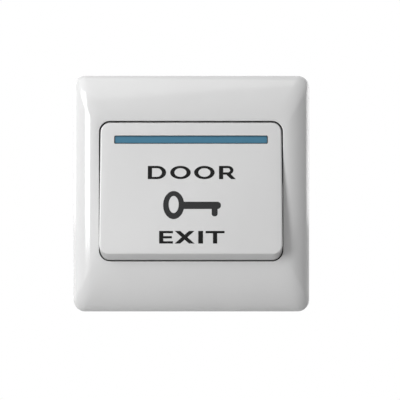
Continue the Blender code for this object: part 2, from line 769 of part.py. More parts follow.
def rocker_button():
    button = button_shell()
    add(button, *mirrored(pivot_arm), *mirrored(pivot_stud), *mirrored(spring_boss))
    add(button, *mirrored(limit_hook), *mirrored(button_rib))
    pusher_root_y = underside_y(PLUNGER_Z) - JOIN
    add(button, cylinder("pusher", PUSHER_RADIUS, (0, PLUNGER_Z), pusher_root_y, pusher_y()))
    floor_y = strip_depths()[2]
    recess_outline = centred_rectangle(
        0, STRIP_Z, STRIP_WIDTH + 2 * STRIP_GAP, STRIP_HEIGHT + 2 * STRIP_GAP, STRIP_CORNER + STRIP_GAP
    )
    recess = extruded("strip_recess", "XZ", [recess_outline], PLATE_FACE_Y - PAST, floor_y)
    cut(button, laid_on_face(recess))
    for side in (-1, 1):
        hole = cylinder(
            f"strip_peg_hole_{side}",
            STRIP_PEG_RADIUS + STRIP_GAP,
            (side * STRIP_PEG_X, STRIP_Z),
            floor_y - STRIP_GAP,
            floor_y + PAST,
        )
        cut(button, laid_on_face(hole))
    return finish(button, BUTTON_WHITE)


def indicator_strip():
    front, back, _ = strip_depths()
    outline = centred_rectangle(0, STRIP_Z, STRIP_WIDTH, STRIP_HEIGHT, STRIP_CORNER)
    strip = laid_on_face(extruded("indicator_strip", "XZ", [outline], front, back))
    for side in (-1, 1):
        centre = (side * STRIP_PEG_X, STRIP_Z)
        low, high = front + STRIP_GAP, back + STRIP_PEG_LENGTH
        add(strip, laid_on_face(cylinder(f"strip_peg_{side}", STRIP_PEG_RADIUS, centre, low, high)))
    return finish(strip, STRIP_BLUE)


# Mounting base


def fixing_slots():
    reach = FIXING_SPACING / 2
    radius = FIXING_SLOT_WIDTH / 2
    outlines = []
    for side in (-1, 1):
        outlines.append(centred_rectangle(side * reach, 0, FIXING_SLOT_WIDTH, FIXING_SLOT_LENGTH, radius))
        outlines.append(centred_rectangle(0, side * reach, FIXING_SLOT_LENGTH, FIXING_SLOT_WIDTH, radius))
    return outlines


def clip_windows():
    """Openings for the wall plate's clips, each with a ledge on its outer side."""
    height = CLIP_THICKNESS + 2 * SLIDE_GAP
    places = [(side_x * CLIP_X, side_z * CLIP_Z) for side_x in (-1, 1) for side_z in (-1, 1)]
    return [centred_rectangle(x, z, CLIP_WIDTH + 2 * SLIDE_GAP, height, SLIDE_GAP) for x, z in places]


def clip_relief(side_x, side_z):
    """The hollow behind a ledge, which the barb springs out into."""
    inner = CLIP_Z - CLIP_THICKNESS / 2 - SLIDE_GAP / 2
    outer = CLIP_Z + CLIP_THICKNESS / 2 + CLIP_BARB + SLIDE_GAP
    low, high = side_x * CLIP_X - CLIP_WIDTH / 2 - SLIDE_GAP, side_x * CLIP_X + CLIP_WIDTH / 2 + SLIDE_GAP
    z_range = span(side_z, inner, outer)
    return box(f"clip_relief_{side_x}_{side_z}", (low, high), (BASE_FRONT_Y + CLIP_LEDGE, PAST), z_range)


def hook_slots():
    """Slots for the button's hooks, tall enough for the hooks' swing."""
    low_z = HOOK_Z - SLIDE_GAP
    high_z = HOOK_Z + HOOK_THICKNESS + HOOK_SWING
    half = HOOK_WIDTH / 2 + SLIDE_GAP
    return [
        rounded_rectangle(side * HOOK_X - half, side * HOOK_X + half, low_z, high_z, SLIDE_GAP)
        for side in (-1, 1)
    ]


def bearing_post(side):
    """A post with an open socket, narrower at its mouth than the stud that snaps into it."""
    socket = STUD_RADIUS + PIVOT_GAP
    mouth = math.degrees(math.asin(POST_MOUTH_HEIGHT / socket))
    top_y = PIVOT_Y - POST_MOUTH_HEIGHT
    foot_y = BASE_FRONT_Y + JOIN
    outline = [(foot_y, PIVOT_Z - POST_FOOT_WIDTH / 2), (top_y, PIVOT_Z - POST_WIDTH / 2)]
    outline += arc((PIVOT_Y, PIVOT_Z), socket, -90 - mouth, 90 + mouth, 2 * CORNER_STEPS)
    outline += [(top_y, PIVOT_Z + POST_WIDTH / 2), (foot_y, PIVOT_Z + POST_FOOT_WIDTH / 2)]
    low, high = span(side, POST_INNER_X, POST_OUTER_X)
    return extruded(f"bearing_post_{side}", "YZ", [outline], low, high)


def spring_cup(side):
    """A low wall round the foot of a return spring, with a spigot in its middle."""
    inner = RETURN_SPRING_RADIUS + SPRING_CUP_ROOM
    wall_y = BASE_FRONT_Y - SPRING_CUP_HEIGHT
    spigot_y = BASE_FRONT_Y - SPRING_SPIGOT_LENGTH
    root_y = BASE_FRONT_Y + JOIN
    profile = [
        (0, root_y),
        (inner + SPRING_CUP_WALL, root_y),
        (inner + SPRING_CUP_WALL, wall_y),
        (inner, wall_y),
        (inner, BASE_FRONT_Y),
        (SPRING_SPIGOT_RADIUS, BASE_FRONT_Y),
        (SPRING_SPIGOT_RADIUS, spigot_y + SPRING_SPIGOT_LEAD),
        (SPRING_SPIGOT_RADIUS - SPRING_SPIGOT_LEAD, spigot_y),
        (0, spigot_y),
    ]
    return turned(f"spring_cup_{side}", profile, side * RETURN_SPRING_X, RETURN_SPRING_Z)


def boss_front_y():
    """Depth of the front end of the screw bosses."""
    return BASE_FRONT_Y - HOUSING_SCREW_GRIP - BOSS_END


def screw_boss(side):
    centre = (0, PLUNGER_Z + side * HOUSING_SCREW_REACH)
    radius = HOUSING_SCREW_RADIUS + SEAT_GAP + BOSS_WALL
    return cylinder(f"screw_boss_{side}", radius, centre, boss_front_y(), BASE_FRONT_Y + JOIN)


def screw_pilot(side):
    centre = (0, PLUNGER_Z + side * HOUSING_SCREW_REACH)
    return cylinder(
        f"screw_pilot_{side}", HOUSING_SCREW_RADIUS + SEAT_GAP, centre, boss_front_y() + BOSS_END, PAST
    )


def press_stop(side):
    """A post that the back of the button meets at the end of its travel."""
    reach = PIVOT_Z - STOP_Z
    front_y = underside_y(STOP_Z) + reach * BUTTON_TRAVEL + SEAT_GAP
    return cylinder(f"press_stop_{side}", STOP_RADIUS, (side * STOP_X, STOP_Z), front_y, BASE_FRONT_Y + JOIN)


def base_rim():
    """A low wall near the edge of the base."""
    half_width, half_height = BASE_HALF_WIDTH - RIM_INSET, BASE_HALF_HEIGHT - RIM_INSET
    outer = centred_rectangle(0, 0, 2 * half_width, 2 * half_height, BASE_CORNER)
    inner_size = [2 * (half - RIM_WIDTH) for half in (half_width, half_height)]
    inner = centred_rectangle(0, 0, *inner_size, BASE_CORNER - RIM_WIDTH)
    return extruded("base_rim", "XZ", [outer, inner], BASE_FRONT_Y - RIM_HEIGHT, BASE_FRONT_Y + JOIN)


def base_ribs():
    """Two upright and two level ribs that run from rim to rim."""
    y_range = (BASE_FRONT_Y - BASE_RIB_HEIGHT, BASE_FRONT_Y + JOIN)
    half = BASE_RIB_WIDTH / 2
    long_z = BASE_HALF_HEIGHT - RIM_INSET - RIM_WIDTH / 2
    long_x = BASE_HALF_WIDTH - RIM_INSET - RIM_WIDTH / 2
    ribs = []
    for side in (-1, 1):
        x, z = side * BASE_RIB_X, side * BASE_RIB_Z
        ribs.append(box(f"upright_rib_{side}", (x - half, x + half), y_range, (-long_z, long_z)))
        ribs.append(box(f"level_rib_{side}", (-long_x, long_x), y_range, (z - half, z + half)))
    return ribs


def plunger_collar():
    width, height = PLUNGER_WIDTH + 2 * SLIDE_GAP, PLUNGER_HEIGHT + 2 * SLIDE_GAP
    outer = centred_rectangle(0, PLUNGER_Z, width + 2 * COLLAR_WALL, height + 2 * COLLAR_WALL, COLLAR_WALL)
    return extruded("plunger_collar", "XZ", [outer], BASE_FRONT_Y - COLLAR_HEIGHT, BASE_FRONT_Y + JOIN)


def plunger_guide():
    """The hole that guides the plunger through the collar and the base."""
    width, height = PLUNGER_WIDTH + 2 * SLIDE_GAP, PLUNGER_HEIGHT + 2 * SLIDE_GAP
    outline = centred_rectangle(0, PLUNGER_Z, width, height, SLIDE_GAP)
    return extruded("plunger_guide", "XZ", [outline], BASE_FRONT_Y - COLLAR_HEIGHT - PAST, PAST)


def mounting_base():
    outer = centred_rectangle(0, 0, 2 * BASE_HALF_WIDTH, 2 * BASE_HALF_HEIGHT, BASE_CORNER)
    base = extruded("mounting_base", "XZ", [outer], BASE_FRONT_Y, 0)
    add(base, base_rim(), *base_ribs(), plunger_collar())
    add(base, *mirrored(bearing_post), *mirrored(spring_cup), *mirrored(screw_boss), *mirrored(press_stop))
    for i, outline in enumerate(fixing_slots() + clip_windows() + hook_slots()):
        cut(base, extruded(f"base_hole_{i}", "XZ", [outline], BASE_FRONT_Y - PAST, PAST))
    cut(base, plunger_guide(), *mirrored(screw_pilot))
    cut(base, *[clip_relief(side_x, side_z) for side_x in (-1, 1) for side_z in (-1, 1)])
    return finish(base, BASE_WHITE)


# Contact housing behind the base


def terminal_bay(side):
    """A bay open at the back and at one side, for a wire and its clamp."""
    low, high = span(side, TOWER_HALF_WIDTH, HOUSING_WIDTH / 2 + PAST)
    z_range = (PLUNGER_Z - BAY_HEIGHT / 2, PLUNGER_Z + BAY_HEIGHT / 2)
    return box(f"terminal_bay_{side}", (low, high), (FLOOR_BACK_Y, HOUSING_BACK_Y + PAST), z_range)


def terminal_slot(side):
    """The slot where a terminal passes through the floor."""
    inner = TERMINAL_OUTER_X - TERMINAL_THICKNESS - SEAT_GAP
    low, high = span(side, inner, TERMINAL_OUTER_X + SEAT_GAP)
    half = TERMINAL_WIDTH / 2 + SEAT_GAP
    z_range = (PLUNGER_Z - half, PLUNGER_Z + half)
    return box(f"terminal_slot_{side}", (low, high), (FLOOR_Y - JOIN, FLOOR_BACK_Y + JOIN), z_range)


def contact_housing():
    width, corner = HOUSING_WIDTH, HOUSING_CORNER
    front_outline = centred_rectangle(0, PLUNGER_Z, width, CAVITY_HEIGHT + 2 * HOUSING_WALL, corner)
    back_outline = centred_rectangle(0, PLUNGER_Z, width, BAY_HEIGHT + 2 * HOUSING_WALL, corner)
    ear_radius = EAR_WIDTH / 2
    ear_height = 2 * (HOUSING_SCREW_REACH + ear_radius)
    ear_outline = centred_rectangle(0, PLUNGER_Z, EAR_WIDTH, ear_height, ear_radius)
    housing = extruded("contact_housing", "XZ", [front_outline], SEAT_GAP, FLOOR_BACK_Y)
    add(
        housing,
        extruded("ears", "XZ", [ear_outline], SEAT_GAP, EAR_BACK_Y),
        extruded("terminal_block", "XZ", [back_outline], FLOOR_Y, HOUSING_BACK_Y),
    )
    cavity_outline = centred_rectangle(
        0, PLUNGER_Z, width - 2 * HOUSING_WALL, CAVITY_HEIGHT, corner / 2
    )
    cut(housing, extruded("cavity", "XZ", [cavity_outline], -PAST, FLOOR_Y))
    pocket_radius = PLUNGER_SPRING_RADIUS + SPRING_CUP_ROOM
    cut(housing, cylinder("spring_pocket", pocket_radius, (0, PLUNGER_Z), FLOOR_Y - JOIN, POCKET_Y))
    cut(housing, *mirrored(terminal_bay), *mirrored(terminal_slot))
    for side in (-1, 1):
        tip_hole = cylinder(
            f"screw_tip_hole_{side}",
            TERMINAL_SCREW_RADIUS + SEAT_GAP,
            (side * CONTACT_X, PLUNGER_Z),
            FLOOR_Y - JOIN,
            FLOOR_BACK_Y + JOIN,
        )
        ear_hole = cylinder(
            f"ear_hole_{side}",
            HOUSING_SCREW_RADIUS + SEAT_GAP,
            (0, PLUNGER_Z + side * HOUSING_SCREW_REACH),
            -PAST,
            EAR_BACK_Y + PAST,
        )
        cut(housing, tip_hole, ear_hole)
    return finish(housing, HOUSING_WHITE)


# Screws


def pan_head_screw(name, x, z, head_y, radius, head_radius, head_height, tip_y):
    """A screw whose head lies behind head_y and whose shank runs forward to tip_y."""
    profile = [(head_radius * out, head_y + head_height * up) for out, up in PAN_HEAD_SHAPE]
    profile += [(radius, head_y), (radius, tip_y + radius), (radius * POINT_SHARE, tip_y), (0, tip_y)]
    screw = turned(name, profile, x, z)
    half, reach = SLOT_WIDTH / 2, head_radius * SLOT_REACH_SHARE
    slot_y = (head_y + head_height - SLOT_DEPTH, head_y + head_height + PAST)
    level = box(f"{name}_level_slot", (x - reach, x + reach), slot_y, (z - half, z + half))
    upright = box(f"{name}_upright_slot", (x - half, x + half), slot_y, (z - reach, z + reach))
    cut(screw, level, upright)
    return finish(screw, ZINC_STEEL)


def housing_screw(name, side):
    tip_y = boss_front_y() + BOSS_END + SEAT_GAP
    return pan_head_screw(
        name,
        0,
        PLUNGER_Z + side * HOUSING_SCREW_REACH,
        HOUSING_SCREW_Y,
        HOUSING_SCREW_RADIUS,
        HOUSING_SCREW_HEAD_RADIUS,
        HOUSING_SCREW_HEAD,
        tip_y,
    )


def terminal_screw(name, side):
    return pan_head_screw(
        name,
        side * CONTACT_X,
        PLUNGER_Z,
        TERMINAL_SCREW_Y,
        TERMINAL_SCREW_RADIUS,
        TERMINAL_SCREW_HEAD_RADIUS,
        TERMINAL_SCREW_HEAD,
        TAB_Y - TERMINAL_SCREW_TIP,
    )


# Terminals, clamps and contacts


def terminal(name, side):
    """A brass strip folded like a C: one leg holds the fixed contact, the other lies in the terminal bay."""
    tab_end = TOWER_HALF_WIDTH + TAB_TO_TOWER
    thick, bend = TERMINAL_THICKNESS, TERMINAL_BEND
    inner_x = TERMINAL_OUTER_X - thick
    outline = [(TERMINAL_INNER_X, TERMINAL_Y)]
    outline += quarter_bend((TERMINAL_OUTER_X, TERMINAL_Y), (-1, 0), (0, 1), bend + thick)
    outline += quarter_bend((TERMINAL_OUTER_X, TAB_Y + thick), (0, -1), (-1, 0), bend + thick)
    outline += [(tab_end, TAB_Y + thick), (tab_end, TAB_Y)]
    outline += quarter_bend((inner_x, TAB_Y), (-1, 0), (0, -1), bend)
    outline += quarter_bend((inner_x, TERMINAL_Y + thick), (0, 1), (-1, 0), bend)
    outline += [(TERMINAL_INNER_X, TERMINAL_Y + thick)]
    outline = [(side * x, y) for x, y in outline]
    half = TERMINAL_WIDTH / 2
    strip = extruded(name, "XY", [outline], PLUNGER_Z - half, PLUNGER_Z + half)
    centre = (side * CONTACT_X, PLUNGER_Z)
    rivet_hole = cylinder(
        f"{name}_rivet_hole", CONTACT_SHANK_RADIUS + RIVET_GAP, centre, TERMINAL_Y - JOIN, FLOOR_Y
    )
    screw_hole = cylinder(
        f"{name}_screw_hole", TERMINAL_SCREW_RADIUS + SEAT_GAP, centre, TAB_Y - SEAT_GAP, CLAMP_Y
    )
    cut(strip, rivet_hole, screw_hole)
    return finish(strip, BRASS)


def clamp_plate(name, side):
    """A clamp under the screw's head, with two lips turned over the wire."""
    half, thick = CLAMP_HEIGHT / 2, CLAMP_THICKNESS
    outline = [
        (CLAMP_Y, -half),
        (CLAMP_Y + thick, -half),
        (CLAMP_Y + thick, half),
        (CLAMP_Y, half),
        (CLAMP_Y, half - CLAMP_LIP),
        (CLAMP_Y + CLAMP_HOLLOW, half - 2 * CLAMP_LIP),
        (CLAMP_Y + CLAMP_HOLLOW, -half + 2 * CLAMP_LIP),
        (CLAMP_Y, -half + CLAMP_LIP),
    ]
    outline = [(y, PLUNGER_Z + z) for y, z in outline]
    plate = extruded(name, "YZ", [outline], *span(side, CLAMP_INNER_X, CLAMP_OUTER_X))
    hole_radius = TERMINAL_SCREW_RADIUS + SEAT_GAP
    centre = (side * CONTACT_X, PLUNGER_Z)
    cut(plate, cylinder(f"{name}_hole", hole_radius, centre, CLAMP_Y - JOIN, CLAMP_Y + thick + JOIN))
    return finish(plate, ZINC_STEEL)


def contact(name, side, head_y, shank_y, head_first):
    """A silver rivet with a domed head. head_first says that the head faces the front of the button."""
    far = head_y + CONTACT_HEAD
    crown_radius = CONTACT_HEAD_RADIUS - CONTACT_DOME_RUN
    if head_first:
        profile = [
            (0, shank_y),
            (CONTACT_SHANK_RADIUS, shank_y),
            (CONTACT_SHANK_RADIUS, far),
            (CONTACT_HEAD_RADIUS, far),
            (CONTACT_HEAD_RADIUS, head_y + CONTACT_DOME),
            (crown_radius, head_y),
            (0, head_y),
        ]
    else:
        profile = [
            (0, far),
            (crown_radius, far),
            (CONTACT_HEAD_RADIUS, far - CONTACT_DOME),
            (CONTACT_HEAD_RADIUS, head_y),
            (CONTACT_SHANK_RADIUS, head_y),
            (CONTACT_SHANK_RADIUS, shank_y),
            (0, shank_y),
        ]
    return finish(turned(name, profile, side * CONTACT_X, PLUNGER_Z), SILVER)


def contact_bridge():
    half_length, half_width = BRIDGE_LENGTH / 2, BRIDGE_WIDTH / 2
    outline = centred_rectangle(0, PLUNGER_Z, 2 * half_length, 2 * half_width, half_width / 2)
    bridge = extruded("contact_bridge", "XZ", [outline], BRIDGE_Y, BRIDGE_BACK_Y)
    for side in (-1, 1):
        centre = (side * CONTACT_X, PLUNGER_Z)
        hole_radius = CONTACT_SHANK_RADIUS + RIVET_GAP
        low, high = BRIDGE_Y - JOIN, BRIDGE_BACK_Y + JOIN
        cut(bridge, cylinder(f"bridge_hole_{side}", hole_radius, centre, low, high))
    return finish(bridge, BRASS)


# Plunger


def plunger():
    """The plunger slides in the base. Its window carries the bridge and the spring that presses on it."""
    tip_y = pusher_y() + SEAT_GAP
    half_width, half_height = PLUNGER_WIDTH / 2, PLUNGER_HEIGHT / 2
    crown = arc((0, 0), 1, 180, 0, 2 * CORNER_STEPS)
    top = [(tip_y + PLUNGER_DOME * (1 - up), PLUNGER_Z + half_height * across) for across, up in crown]
    foot_y = FLANGE_Y + JOIN
    stem_outline = [(foot_y, PLUNGER_Z - half_height), *top, (foot_y, PLUNGER_Z + half_height)]
    stem = extruded("plunger", "YZ", [stem_outline], -half_width, half_width)
    rim = PLUNGER_FLANGE_RIM + SLIDE_GAP
    flange_width, flange_height = PLUNGER_WIDTH + 2 * rim, PLUNGER_HEIGHT + 2 * rim
    flange_outline = centred_rectangle(0, PLUNGER_Z, flange_width, flange_height, rim / 2)
    flange = extruded("plunger_flange", "XZ", [flange_outline], FLANGE_Y, CARRIAGE_Y)
    window_half = BRIDGE_WIDTH / 2 + SLIDE_GAP
    carriage_half = window_half + CARRIAGE_WALL
    z_low, z_high = PLUNGER_Z - carriage_half, PLUNGER_Z + carriage_half
    half = CARRIAGE_WIDTH / 2
    carriage = box("plunger_carriage", (-half, half), (CARRIAGE_Y - JOIN, CARRIAGE_BACK_Y), (z_low, z_high))
    window = box(
        "plunger_window",
        (-half - PAST, half + PAST),
        (WINDOW_Y, WINDOW_END_Y),
        (PLUNGER_Z - window_half, PLUNGER_Z + window_half),
    )
    tail = cylinder(
        "plunger_tail", TAIL_RADIUS, (0, PLUNGER_Z), CARRIAGE_BACK_Y - JOIN, CARRIAGE_BACK_Y + TAIL_LENGTH
    )
    add(stem, flange, carriage, tail)
    cut(stem, window)
    return finish(stem, PLUNGER_BLACK)


# Springs


def return_spring(name, side):
    seat_y = underside_y(RETURN_SPRING_Z) + SPRING_BOSS_LENGTH
    spring = coil(
        name,
        RETURN_SPRING_RADIUS,
        RETURN_SPRING_WIRE,
        RETURN_SPRING_TURNS,
        side * RETURN_SPRING_X,
        RETURN_SPRING_Z,
        seat_y + SEAT_GAP,
        BASE_FRONT_Y - SEAT_GAP,
    )
    return finish(spring, SPRING_STEEL)


def plunger_spring():
    end_y = PLUNGER_SPRING_Y + PLUNGER_SPRING_LENGTH
    spring = coil(
        "plunger_spring",
        PLUNGER_SPRING_RADIUS,
        PLUNGER_SPRING_WIRE,
        PLUNGER_SPRING_TURNS,
        0,
        PLUNGER_Z,
        PLUNGER_SPRING_Y,
        end_y,
    )
    return finish(spring, SPRING_STEEL)


def contact_spring():
    end_y = CONTACT_SPRING_Y + CONTACT_SPRING_LENGTH
    spring = coil(
        "contact_spring",
        CONTACT_SPRING_RADIUS,
        CONTACT_SPRING_WIRE,
        CONTACT_SPRING_TURNS,
        0,
        PLUNGER_Z,
        CONTACT_SPRING_Y,
        end_y,
    )
    return finish(spring, SPRING_STEEL)


# Moving groups


def carried(name, place, pieces):
    """Hangs pieces that move together on an empty at their joint, with each piece left where it is."""
    empty = new_object(name, None)
    empty.location = place
    for piece in pieces:
        piece.parent = empty
        piece.matrix_parent_inverse = Matrix.Translation(place).inverted()
    return empty


def main():
    clear_scene()
    new_collection("door_exit_button")
    new_collection("cutters")
    cover_frame()
    mounting_base()
    contact_housing()
    plunger_spring()
    bridge_pieces = [contact_bridge()]
    for side, hand, wire in ((-1, "left", "com"), (1, "right", "no")):
        return_spring(f"return_spring_{hand}", side)
        terminal(f"terminal_{wire}", side)
        clamp_plate(f"clamp_plate_{wire}", side)
        terminal_screw(f"terminal_screw_{wire}", side)
        contact(f"fixed_contact_{wire}", side, FIXED_CONTACT_Y, TERMINAL_Y + TERMINAL_THICKNESS, True)
        bridge_pieces.append(contact(f"bridge_contact_{hand}", side, BRIDGE_CONTACT_Y, BRIDGE_Y, False))
    for side, level in ((-1, "lower"), (1, "upper")):
        housing_screw(f"housing_screw_{level}", side)
    carried("button_pivot", (0, PIVOT_Y, PIVOT_Z), [rocker_button(), indicator_strip()])
    carried("plunger_axis", (0, FLANGE_Y, PLUNGER_Z), [plunger(), contact_spring()])
    carried("bridge_axis", (0, BRIDGE_Y, PLUNGER_Z), bridge_pieces)


main()
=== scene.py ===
"""Looks of the door exit button: moulded shells, print, springs, materials, lamps and camera.

Sizes are in metres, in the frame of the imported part: X right, Y into the wall, Z up.
"""

import math

import bmesh
import bpy
from mathutils import Matrix, Vector

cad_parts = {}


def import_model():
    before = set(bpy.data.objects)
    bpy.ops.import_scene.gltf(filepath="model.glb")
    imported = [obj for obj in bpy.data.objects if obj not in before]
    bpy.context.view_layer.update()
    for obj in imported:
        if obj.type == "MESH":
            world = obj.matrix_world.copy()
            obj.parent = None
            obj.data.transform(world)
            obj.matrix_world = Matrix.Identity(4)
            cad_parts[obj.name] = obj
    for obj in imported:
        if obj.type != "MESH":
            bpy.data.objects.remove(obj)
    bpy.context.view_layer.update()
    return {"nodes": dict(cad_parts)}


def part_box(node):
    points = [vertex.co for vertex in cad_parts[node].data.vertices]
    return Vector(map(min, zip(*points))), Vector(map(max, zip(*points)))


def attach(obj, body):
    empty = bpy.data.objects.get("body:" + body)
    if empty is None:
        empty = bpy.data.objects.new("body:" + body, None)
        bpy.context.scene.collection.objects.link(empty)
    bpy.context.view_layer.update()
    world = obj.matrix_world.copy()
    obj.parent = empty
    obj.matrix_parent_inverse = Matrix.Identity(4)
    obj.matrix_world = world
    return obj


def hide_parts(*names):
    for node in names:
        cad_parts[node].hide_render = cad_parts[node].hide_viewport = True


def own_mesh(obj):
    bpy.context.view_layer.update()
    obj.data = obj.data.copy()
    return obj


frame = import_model()

# How finely round shapes are cut
CORNER_STEPS = 16
CIRCLE_STEPS = 48
COIL_STEPS = 28
COIL_WIRE_STEPS = 4
CROWN_STEPS = 36
EDGE_STEPS = 6
SHARP_ANGLE = math.radians(22)
COIL_SHARP_ANGLE = math.radians(60)
WELD = 0.000001

# How far a shape runs into the one that it is joined to, and a cutter past the one that it cuts
JOIN = 0.0005
PAST = 0.002

# Air between pieces
SEAT_GAP = 0.0003
STRIP_GAP = 0.0002

# Front of the mounting base
BASE_FRONT_Y = -0.0022

# Wall plate
PLATE_HALF = 0.043
PLATE_DEPTH = 0.009
PLATE_EDGE_DEPTH = 0.0026
PLATE_CORNER = 0.0043
PLATE_WALL = 0.0018
PLATE_FLAT_SHARE = 0.12
PLATE_CROWN_POWER = 1.75
OPENING_LIP = 0.0012
OPENING_LIP_DEPTH = 0.0032
OPENING_EDGE_RADIUS = 0.0002
PRY_NOTCH_WIDTH = 0.008
PRY_NOTCH_DEPTH = 0.0012
PRY_NOTCH_REACH = 0.0022
CLIP_X = 0.024
CLIP_Z = 0.036
CLIP_WIDTH = 0.007
CLIP_THICKNESS = 0.0014
CLIP_BARB = 0.001
CLIP_BARB_HEIGHT = 0.0008
CLIP_LEAD = 0.0004
CLIP_LEDGE = 0.0009

# Button
BUTTON_HALF_WIDTH = 0.032425
BUTTON_TOP_Z = 0.025505
BUTTON_BOTTOM_Z = -0.023775
BUTTON_CORNER = 0.0035
BUTTON_GAP = 0.00045
BUTTON_TOP_SUNK = 0.0003
BUTTON_FOOT_PROUD = 0.0044
BUTTON_FOOT_RUN = 0.00216
BUTTON_FACE = 0.002
BUTTON_WALL = 0.0014
BUTTON_SKIRT = 0.0025
BUTTON_EDGE_RADIUS = 0.0007
BUTTON_RIB_X = 0.009
BUTTON_RIB_WIDTH = 0.001
BUTTON_RIB_HEIGHT = 0.0009

# Recess for the blue strip
STRIP_HALF_WIDTH = 0.027245
STRIP_HEIGHT = 0.0026
STRIP_Z = 0.019245
STRIP_CORNER = 0.0003
STRIP_FLOOR = 0.0013
STRIP_PEG_X = 0.013
STRIP_PEG_RADIUS = 0.0007

# Arms, hooks, spring seats and pusher behind the button
PIVOT_Y = -0.0056
PIVOT_Z = 0.017495
ARM_OUTER_X = 0.027025
STUD_OUTER_X = 0.029825
ARM_THICKNESS = 0.0024
ARM_RADIUS = 0.0029
STUD_RADIUS = 0.0016
HOOK_X = 0.0185
HOOK_Z = -0.020905
HOOK_WIDTH = 0.004
HOOK_THICKNESS = 0.0016
HOOK_BARB = 0.0013
HOOK_BARB_HEIGHT = 0.0016
HOOK_LEAD = 0.0005
SPRING_X = 0.024525
SPRING_Z = -0.013005
SPRING_RADIUS = 0.003
SPRING_BOSS_LENGTH = 0.0018
SPIGOT_RADIUS = 0.0013
SPIGOT_LENGTH = 0.0015
SPIGOT_LEAD = 0.00045
PLUNGER_Z = -0.006005
PUSHER_RADIUS = 0.003
PUSHER_LENGTH = 0.0018

# Springs
END_TURN_CLIMB = 1.25
RETURN_WIRE = 0.0005
RETURN_TURNS = 5
PLUNGER_COIL_RADIUS = 0.0028
PLUNGER_WIRE = 0.00045
PLUNGER_TURNS = 6
CONTACT_COIL_RADIUS = 0.0021
CONTACT_WIRE = 0.00035
CONTACT_TURNS = 4

# Print on the button's face
PRINT_PROUD = 0.00003
STEM = 0.0015
BAR = 0.00082
LEG_TUCK = 0.0002
WORD_DOOR_X = -0.01534
WORD_DOOR_Z = 0.0051
WORD_DOOR_HEIGHT = 0.00475
WORD_EXIT_X = -0.01120
WORD_EXIT_Z = -0.01765
WORD_EXIT_HEIGHT = 0.00445
KEY_Z = -0.0041
KEY_BOW_X = -0.0061
KEY_BOW_RADII = (0.00374, 0.0050)
KEY_HOLE_RADII = (0.00178, 0.00303)
KEY_HOLE_RISE = 0.0002
KEY_SHAFT_TOP = 0.00118
KEY_SHAFT_FOOT = -0.0014
KEY_SHAFT_END = 0.01065
KEY_SHAFT_ROUND = 0.00125
KEY_BIT_LEFT = 0.00735
KEY_BIT_RIGHT = 0.00945
KEY_BIT_FOOT = -0.0040
KEY_BIT_ROUND = 0.0009

# Broken edges of the solids that stay in view
MOULDED_EDGE = 0.00015
SMALL_MOULDED_EDGE = 0.00012
STAMPED_EDGE = 0.00008
SCREW_EDGE = 0.00006
BROKEN_EDGE_ANGLE = math.radians(40)

# Painted shade in joints, and at the strip's rim inside its recess: how far round a spot is looked at, and
# the open shares at which it is fully dark and not dark
PLATE_JOINT_SHADE = (0.0011, 0.34, 0.52)
STRIP_RIM_SHADE = (0.0011, 0.70, 0.98)
JOINT_SHADE = 0.05
JOINT_ROUGHNESS = 0.9

# Floor, which fades to white away from the spot under the button
FLOOR_Z = -0.20
FLOOR_HALF = 3.0
FLOOR_GREY = 0.45
FLOOR_ROUGHNESS = 0.8
FADE_START = 0.21
FADE_END = 0.50
FADE_LEAST = 0.65

# Lamps: name, azimuth in degrees (0 is the front, -90 the left), elevation, distance, size, power
LAMPS = (
    ("key", -46, 15, 0.7, (0.204, 0.51), 3.92),
    ("top_left", -40, 62, 0.9, (0.9, 0.9), 3.7),
    ("back_left", -120, 15, 0.8, (0.5, 0.5), 1.8),
    ("back_right", 118, 15, 0.8, (0.5, 0.5), 2.8),
)
WORLD_STRENGTH = 0.18
WHITE = (1, 1, 1, 1)

# Camera, placed as in the photograph
CAMERA_PLACE = (0.006, -0.300, -0.00231)
CAMERA_LENS = 73.3
CAMERA_SHIFT = -0.0196
CAMERA_CLIP = (0.01, 20.0)
SENSOR_WIDTH = 36.0

# Worked out from the sizes above
PLATE_FACE_Y = -PLATE_DEPTH
BUTTON_FOOT_Z = BUTTON_BOTTOM_Z + BUTTON_FOOT_RUN
BUTTON_SKIRT_Y = PLATE_FACE_Y + BUTTON_SKIRT
FACE_RISE = BUTTON_TOP_SUNK + BUTTON_FOOT_PROUD
FACE_TILT = math.atan(FACE_RISE / (BUTTON_TOP_Z - BUTTON_FOOT_Z))
OPENING_HALF_WIDTH = BUTTON_HALF_WIDTH + BUTTON_GAP
OPENING_TOP_Z = BUTTON_TOP_Z + BUTTON_GAP
OPENING_BOTTOM_Z = BUTTON_BOTTOM_Z - BUTTON_GAP
OPENING_CORNER = BUTTON_CORNER + BUTTON_GAP

FACING = {
    "XZ": Matrix(((1, 0, 0), (0, 0, -1), (0, 1, 0))),
    "YZ": Matrix(((0, 0, 1), (1, 0, 0), (0, 1, 0))),
}


def face_y(z):
    """Depth of the button's sloping face at height z."""
    share = (BUTTON_TOP_Z - z) / (BUTTON_TOP_Z - BUTTON_FOOT_Z)
    return PLATE_FACE_Y + BUTTON_TOP_SUNK - FACE_RISE * share


def underside_y(z):
    return face_y(z) + BUTTON_FACE


# Mesh helpers


def new_object(name, data):
    obj = bpy.data.objects.new(name, data)
    bpy.context.scene.collection.objects.link(obj)
    return obj


def object_from_bmesh(name, shape):
    bmesh.ops.recalc_face_normals(shape, faces=shape.faces)
    mesh = bpy.data.meshes.new(name)
    shape.to_mesh(mesh)
    shape.free()
    return new_object(name, mesh)


